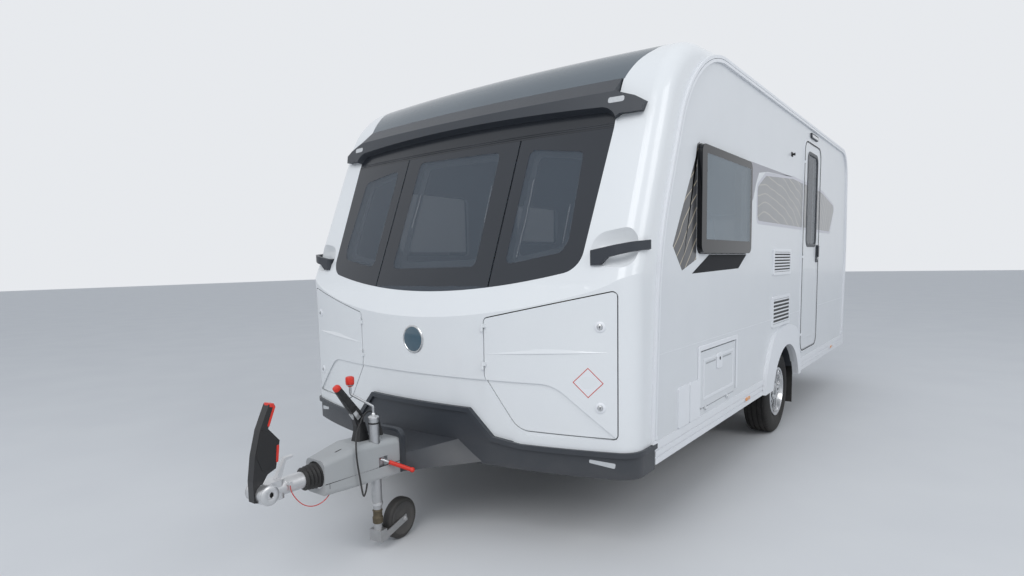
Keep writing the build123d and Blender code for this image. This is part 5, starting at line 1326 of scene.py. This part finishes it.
def read_line(line, distance):
    """The value at a distance on a line given by (distance, value) points."""
    for (d0, value0), (d1, value1) in zip(line, line[1:]):
        if distance <= d1:
            return value0 + (value1 - value0) * (distance - d0) / (d1 - d0)
    return line[-1][1]


def cover_side_place(side):
    """A place function on one side of the hitch cover, in millimetres along and up."""
    return lambda u, v, w: Vector((side * (read_line(COVER_SIDES, u) + w), along(u), v / 1000))


def on_cover_top(u, v, w):
    """A point on the cover's top: millimetres along, metres across and out."""
    return Vector((v, along(u), read_line(COVER_TOP, u) + w))


for side, tag in SIDES:
    # Dark strips of painted shade for the joint's groove.
    joint = [(-964, 396), (-790, 402), (-562, 404), (-562, 407), (-790, 405), (-964, 399)]
    add_piece(f"cover_joint_shade_{tag}", plate(joint, cover_side_place(side), -0.0010, 0.0004), rubber_and_painted_shade)
    upright = [(-944, 374), (-942, 374), (-942, 397), (-944, 397)]
    add_piece(f"cover_corner_joint_shade_{tag}", plate(upright, cover_side_place(side), -0.0010, 0.0004),
              rubber_and_painted_shade)
# The slot on top is a dark plate of painted shade.
add_piece("cover_slot_shade", plate(
    [(-878, 0.0262), (-848, 0.0262), (-844, 0.030), (-848, 0.0338), (-878, 0.0338), (-882, 0.030)],
    on_cover_top, -0.0002, 0.0005), rubber_and_painted_shade)
print("cover half widths:", [half for distance, half in COVER_SIDES])

# %% [markdown]
# The jockey wheel's tube has a dark ring and a bright cap, a worn brass-coloured
# catch on its stem, and a wheel with a pressed centre and a bolt. All are round,
# so all are turned. The catch and bolt ride with the fork, which swivels, and
# the pressed centre rides with the wheel, which rolls.

# %% Jockey wheel fittings
brass_worn = finish("brass_worn", (0.06, 0.050, 0.032), (0.16, 0.13, 0.085), rough=0.6, metal=0.5,
                    scale=70, grain_scale=400, grain_depth=0.4)
hub_grey = finish("hub_grey", (0.020, 0.021, 0.023), (0.035, 0.036, 0.038), rough=0.5,
                  grain_scale=600, grain_depth=0.2, dusty=0.4, dust_top=0.3)
jockey_axis = (0.064, along(-683))
UP = (0, 0, 1)
add_piece("jockey_ring", turned([(0.0238, 0), (0.0258, 0.001), (0.0258, 0.007), (0.0238, 0.008)],
                                (*jockey_axis, 0.606), UP), soft_black)
add_piece("jockey_cap", turned([(0, 0), (0.0252, 0), (0.0252, 0.006), (0.021, 0.010), (0.010, 0.013),
                                (0.0085, 0.024), (0.0068, 0.026)],
                               (*jockey_axis, 0.6325), UP), zinc_bright)
add_piece("tube_foot_ring", turned([(0.0236, 0), (0.0262, 0.002), (0.0262, 0.014), (0.0236, 0.016)],
                                   (*jockey_axis, 0.2165), UP), zinc_bright)
add_piece("stem_catch", turned([(0.0198, 0), (0.0240, 0.003), (0.0248, 0.030), (0.0215, 0.034),
                                (0.0215, 0.058), (0.0240, 0.062), (0.0198, 0.070)],
                               (*jockey_axis, 0.128), UP), brass_worn, "jockey_caster")
ROLLER_TURN, TRAIL, ROLLER_RADIUS = math.radians(6), 0.150, 0.100
roller_out = Vector((math.cos(ROLLER_TURN), math.sin(ROLLER_TURN), 0))
roller_mid = Vector((jockey_axis[0] - TRAIL * roller_out.y, jockey_axis[1] + TRAIL * roller_out.x,
                     ROLLER_RADIUS))
for sign, tag in SIDES:
    add_piece(f"roller_dish_{tag}", turned(
        [(0.0795, -0.0020), (0.0780, 0.0012), (0.0700, 0.0022), (0.0660, 0.0008), (0.0300, 0.0008),
         (0.0260, 0.0026), (0.0090, 0.0026), (0.0090, -0.0010)],
        roller_mid + roller_out * sign * 0.025, roller_out * sign, 64), hub_grey, "jockey_roller")
    add_piece(f"roller_bolt_{tag}", turned(
        [(0, 0.006), (0.0085, 0.006), (0.0105, 0.004), (0.0105, 0.0), (0, 0.0)],
        roller_mid + roller_out * sign * 0.035, roller_out * sign, 6), zinc_bright, "jockey_caster")
print("jockey wheel dressed")

# %% [markdown]
# A tyre is turned from one profile: bead, bulging side wall, shoulder and a
# tread with four grooves. Notches across the shoulders are made by pulling every
# fourth step of the profile in a little. An array of tread blocks would be truer
# close up, but this keeps the tyre one light mesh. It replaces the plain solid
# tyre at the same size.

# %% Tyres
TYRE_PROFILE = [(0.1870, -0.0760), (0.2000, -0.0835), (0.2300, -0.0912), (0.2480, -0.0920),
                (0.2700, -0.0890), (0.2900, -0.0845), (0.3010, -0.0800), (0.3080, -0.0745),
                (0.3115, -0.0690), (0.3125, -0.0560), (0.3065, -0.0545), (0.3065, -0.0475),
                (0.3140, -0.0460), (0.3148, -0.0240), (0.3075, -0.0225), (0.3075, -0.0145),
                (0.3150, -0.0130)]
TYRE_PROFILE += [(r, -x) for r, x in reversed(TYRE_PROFILE)] + [(0.1870, 0.0760)]
WHEEL = Vector((0.990, along(2420), 0.315))


def tyre(name, side, body, node_name):
    """A road tyre with grooves and shoulder notches."""
    shape = bmesh.new()
    steps = 240
    loops = []
    for k in range(steps):
        a = 2 * math.pi * k / steps
        cut = 0.0035 if k % 4 == 0 else 0.0
        loop = []
        for radius, x in TYRE_PROFILE[:-1]:
            on_shoulder = radius > 0.300 and abs(x) > 0.055
            on_block = radius > 0.313 and 0.020 < abs(x) < 0.050 and k % 8 == 0
            r = radius - (cut if on_shoulder else 0.0) - (cut * 0.8 if on_block else 0.0)
            spot = (side * WHEEL.x + x, WHEEL.y + r * math.cos(a), WHEEL.z + r * math.sin(a))
            loop.append(shape.verts.new(spot))
        loops.append(loop)
    made = add_piece(name, skin(shape, loops, closed=True), tyre_black, body, smooth=28)
    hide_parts(node_name)
    return made


print("tyre corners per section:", len(TYRE_PROFILE) - 1)

# %% [markdown]
# Each wheel gets its tyre, and its alloy rim gets a raised lip, a centre cap and
# five bolts with six flats. A turned shape with six steps makes a bolt head
# without a tool of its own. All of it rides with the wheel.

# %% Road wheels
cap_grey = finish("cap_grey", (0.30, 0.31, 0.32), (0.38, 0.39, 0.40), rough=0.3, metal=0.8,
                  grain_scale=300, grain_depth=0.05)
for side, tag in SIDES:
    body = f"{tag}_wheel"
    tyre(f"{tag}_road_tyre", side, body, f"{tag}_tyre")
    hub = Vector((side * 1.0590, WHEEL.y, WHEEL.z))
    add_piece(f"{tag}_centre_cap", turned(
        [(0, 0.006), (0.022, 0.0055), (0.029, 0.003), (0.031, 0.0), (0.031, -0.002)],
        hub, (side, 0, 0)), cap_grey, body)
    add_piece(f"{tag}_rim_lip", turned(
        [(0.1700, -0.002), (0.1715, 0.0045), (0.1765, 0.0062), (0.1840, 0.0050), (0.1860, 0.0)],
        Vector((side * 1.0700, WHEEL.y, WHEEL.z)), (side, 0, 0), 96), alloy, body)
    for k in range(5):
        a = 2 * math.pi * (k + 0.5) / 5
        spot = hub + Vector((0, 0.046 * math.cos(a), 0.046 * math.sin(a)))
        add_piece(f"{tag}_bolt_{k}", turned(
            [(0, 0.004), (0.0062, 0.004), (0.0078, 0.002), (0.0078, -0.001), (0.0095, -0.001), (0, -0.001)],
            spot, (side, 0, 0), 6), zinc_bright, body)
print("road wheels dressed")

# %% [markdown]
# The settees' cushions are foam in sewn covers. Each is built as a closed form:
# rounded rectangles are stacked from the middle of one face, out over the crown,
# along the wall and back in over the other face. The two small steps in the wall
# are the seams. They are modelled at their settled shape, without a simulation,
# because they are seen only through dark panes, and they fill the space of the
# plain cushions that they replace.

# %% Padded cushions
CROWN = [(0.02, 1.0), (0.30, 0.995), (0.60, 0.965), (0.82, 0.900), (0.93, 0.810), (0.975, 0.740),
         (0.962, 0.700), (0.990, 0.660), (1.0, 0.45), (1.0, 0.15)]
CROWN += [(scale, -rise) for scale, rise in reversed(CROWN)]


def cushion(name, low_corner, high_corner, thin):
    """A padded cushion inside a box; thin is the axis of its thickness."""
    shape = bmesh.new()
    low, high = Vector(low_corner), Vector(high_corner)
    middle, half = (low + high) / 2, (high - low) / 2
    first, second = [k for k in range(3) if k != thin]
    loops = []
    for scale, rise in CROWN:
        reach = scale * (1 - 0.03 * (1 - scale))
        loop = []
        for u, v in square_circle(56, 0.28):
            spot = middle.copy()
            spot[first] += u * half[first] * reach
            spot[second] += v * half[second] * reach
            spot[thin] += half[thin] * rise
            loop.append(shape.verts.new(spot))
        loops.append(loop)
    made = add_piece(name, skin(shape, loops), seat_cloth, smooth=50)
    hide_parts("settee_cushions")
    return made


SETTEE_FRONT, PAD_LENGTH, PAD_GAP = 184, 570.67, 3
pads = 0
for side, tag in SIDES:
    for k in range(3):
        d0 = SETTEE_FRONT + PAD_LENGTH * k + PAD_GAP
        d1 = SETTEE_FRONT + PAD_LENGTH * (k + 1) - PAD_GAP
        seat_x = sorted((side * 0.436, side * 0.973))
        back_x = sorted((side * 0.976, side * 1.094))
        cushion(f"{tag}_seat_{k}", (seat_x[0], along(d0), 0.901), (seat_x[1], along(d1), 1.019), 2)
        cushion(f"{tag}_back_{k}", (back_x[0], along(d0), 0.902), (back_x[1], along(d1), 1.318), 0)
        pads += 2
print("cushions made:", pads)

# %% [markdown]
# The lamp clusters at the rear have four sections, each a lens on a dark bed:
# brake, turn, tail and reversing lamp from the top down. The rear also carries a
# blank number plate with its lamp above it. Beds and lenses are cut from one
# table of sizes, so both clusters match.

# %% Rear lamp sections and number plate
lens_dark_red = finish("lens_dark_red", (0.30, 0.008, 0.010), (0.36, 0.012, 0.014), rough=0.12, coat=0.6,
                       scale=60, grain_scale=500, grain_depth=0.3)
plate_yellow = finish("plate_yellow", (0.62, 0.47, 0.05), (0.66, 0.50, 0.06), rough=0.35, coat=0.3,
                      grain_scale=300, grain_depth=0.02, dusty=0.15, dust_top=0.6)


def rear_place(side):
    """A place function on the rear face of one lamp cluster, in millimetres."""
    return lambda u, v, w: Vector((side * u / 1000, lamp_face + w, v / 1000))


lamp_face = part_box("rear_lamps")[1].y
LAMP_INNER, LAMP_OUTER, LAMP_RIM = 905, 985, 6
SECTIONS = [("brake", 985, 1100, lens_dark_red), ("turn", 860, 965, lens_amber),
            ("tail", 755, 840, lens_dark_red), ("reverse", 650, 735, lens_clear)]
for side, tag in SIDES:
    for name, low, high, lens in SECTIONS:
        bed = box_outline(LAMP_INNER, LAMP_OUTER, low, high, 8, LAMP_RIM)
        add_piece(f"{name}_bed_{tag}", plate(bed, rear_place(side), -0.0060, -0.0035), gloss_black)
        face = box_outline(LAMP_INNER, LAMP_OUTER, low, high, 10)
        add_piece(f"{name}_lens_{tag}", plate(face, rear_place(side), -0.0060, -0.0015), lens, edge=0.001)
REAR_FACE = along(4993)


def on_rear(u, v, w):
    """A point on the flat middle of the rear panel, or that far out of it."""
    return Vector((u, REAR_FACE + w, v))


number_plate = box_outline(-0.26, 0.26, 0.640, 0.751, 0.008)
add_piece("number_plate", plate(number_plate, on_rear, -0.004, 0.0025), plate_yellow, edge=0.0008)
plate_lamp = rounded([(-0.060, 0.775), (0.060, 0.775), (0.054, 0.800), (-0.054, 0.800)], 0.006)
add_piece("plate_lamp", plate(plate_lamp, on_rear, -0.004, 0.0110), soft_black, edge=0.003)
print("lamp face at", round(lamp_face, 4))

# %% [markdown]
# The supply lead leaves the hitch cover through a strain relief of soft rubber.
# It is turned from one profile whose steps get thinner towards the free end, as
# on the real one, where the thin end bends with the lead.

# %% Strain relief of the supply lead
lead_points = [Vector((x / 1000, along(d), z / 1000)) for x, d, z in LEAD_ROUTE[:2]]
gland_start = lead_points[0]
gland_axis = (lead_points[1] - lead_points[0]).normalized()
add_piece("lead_gland", turned(
    [(0.0046, 0.034), (0.0062, 0.030), (0.0066, 0.024), (0.0078, 0.022), (0.0080, 0.016),
     (0.0092, 0.014), (0.0094, 0.008), (0.0108, 0.006), (0.0108, 0.0), (0.0046, 0.0)],
    gland_start, gland_axis, 32), soft_black)
print("strain relief placed")
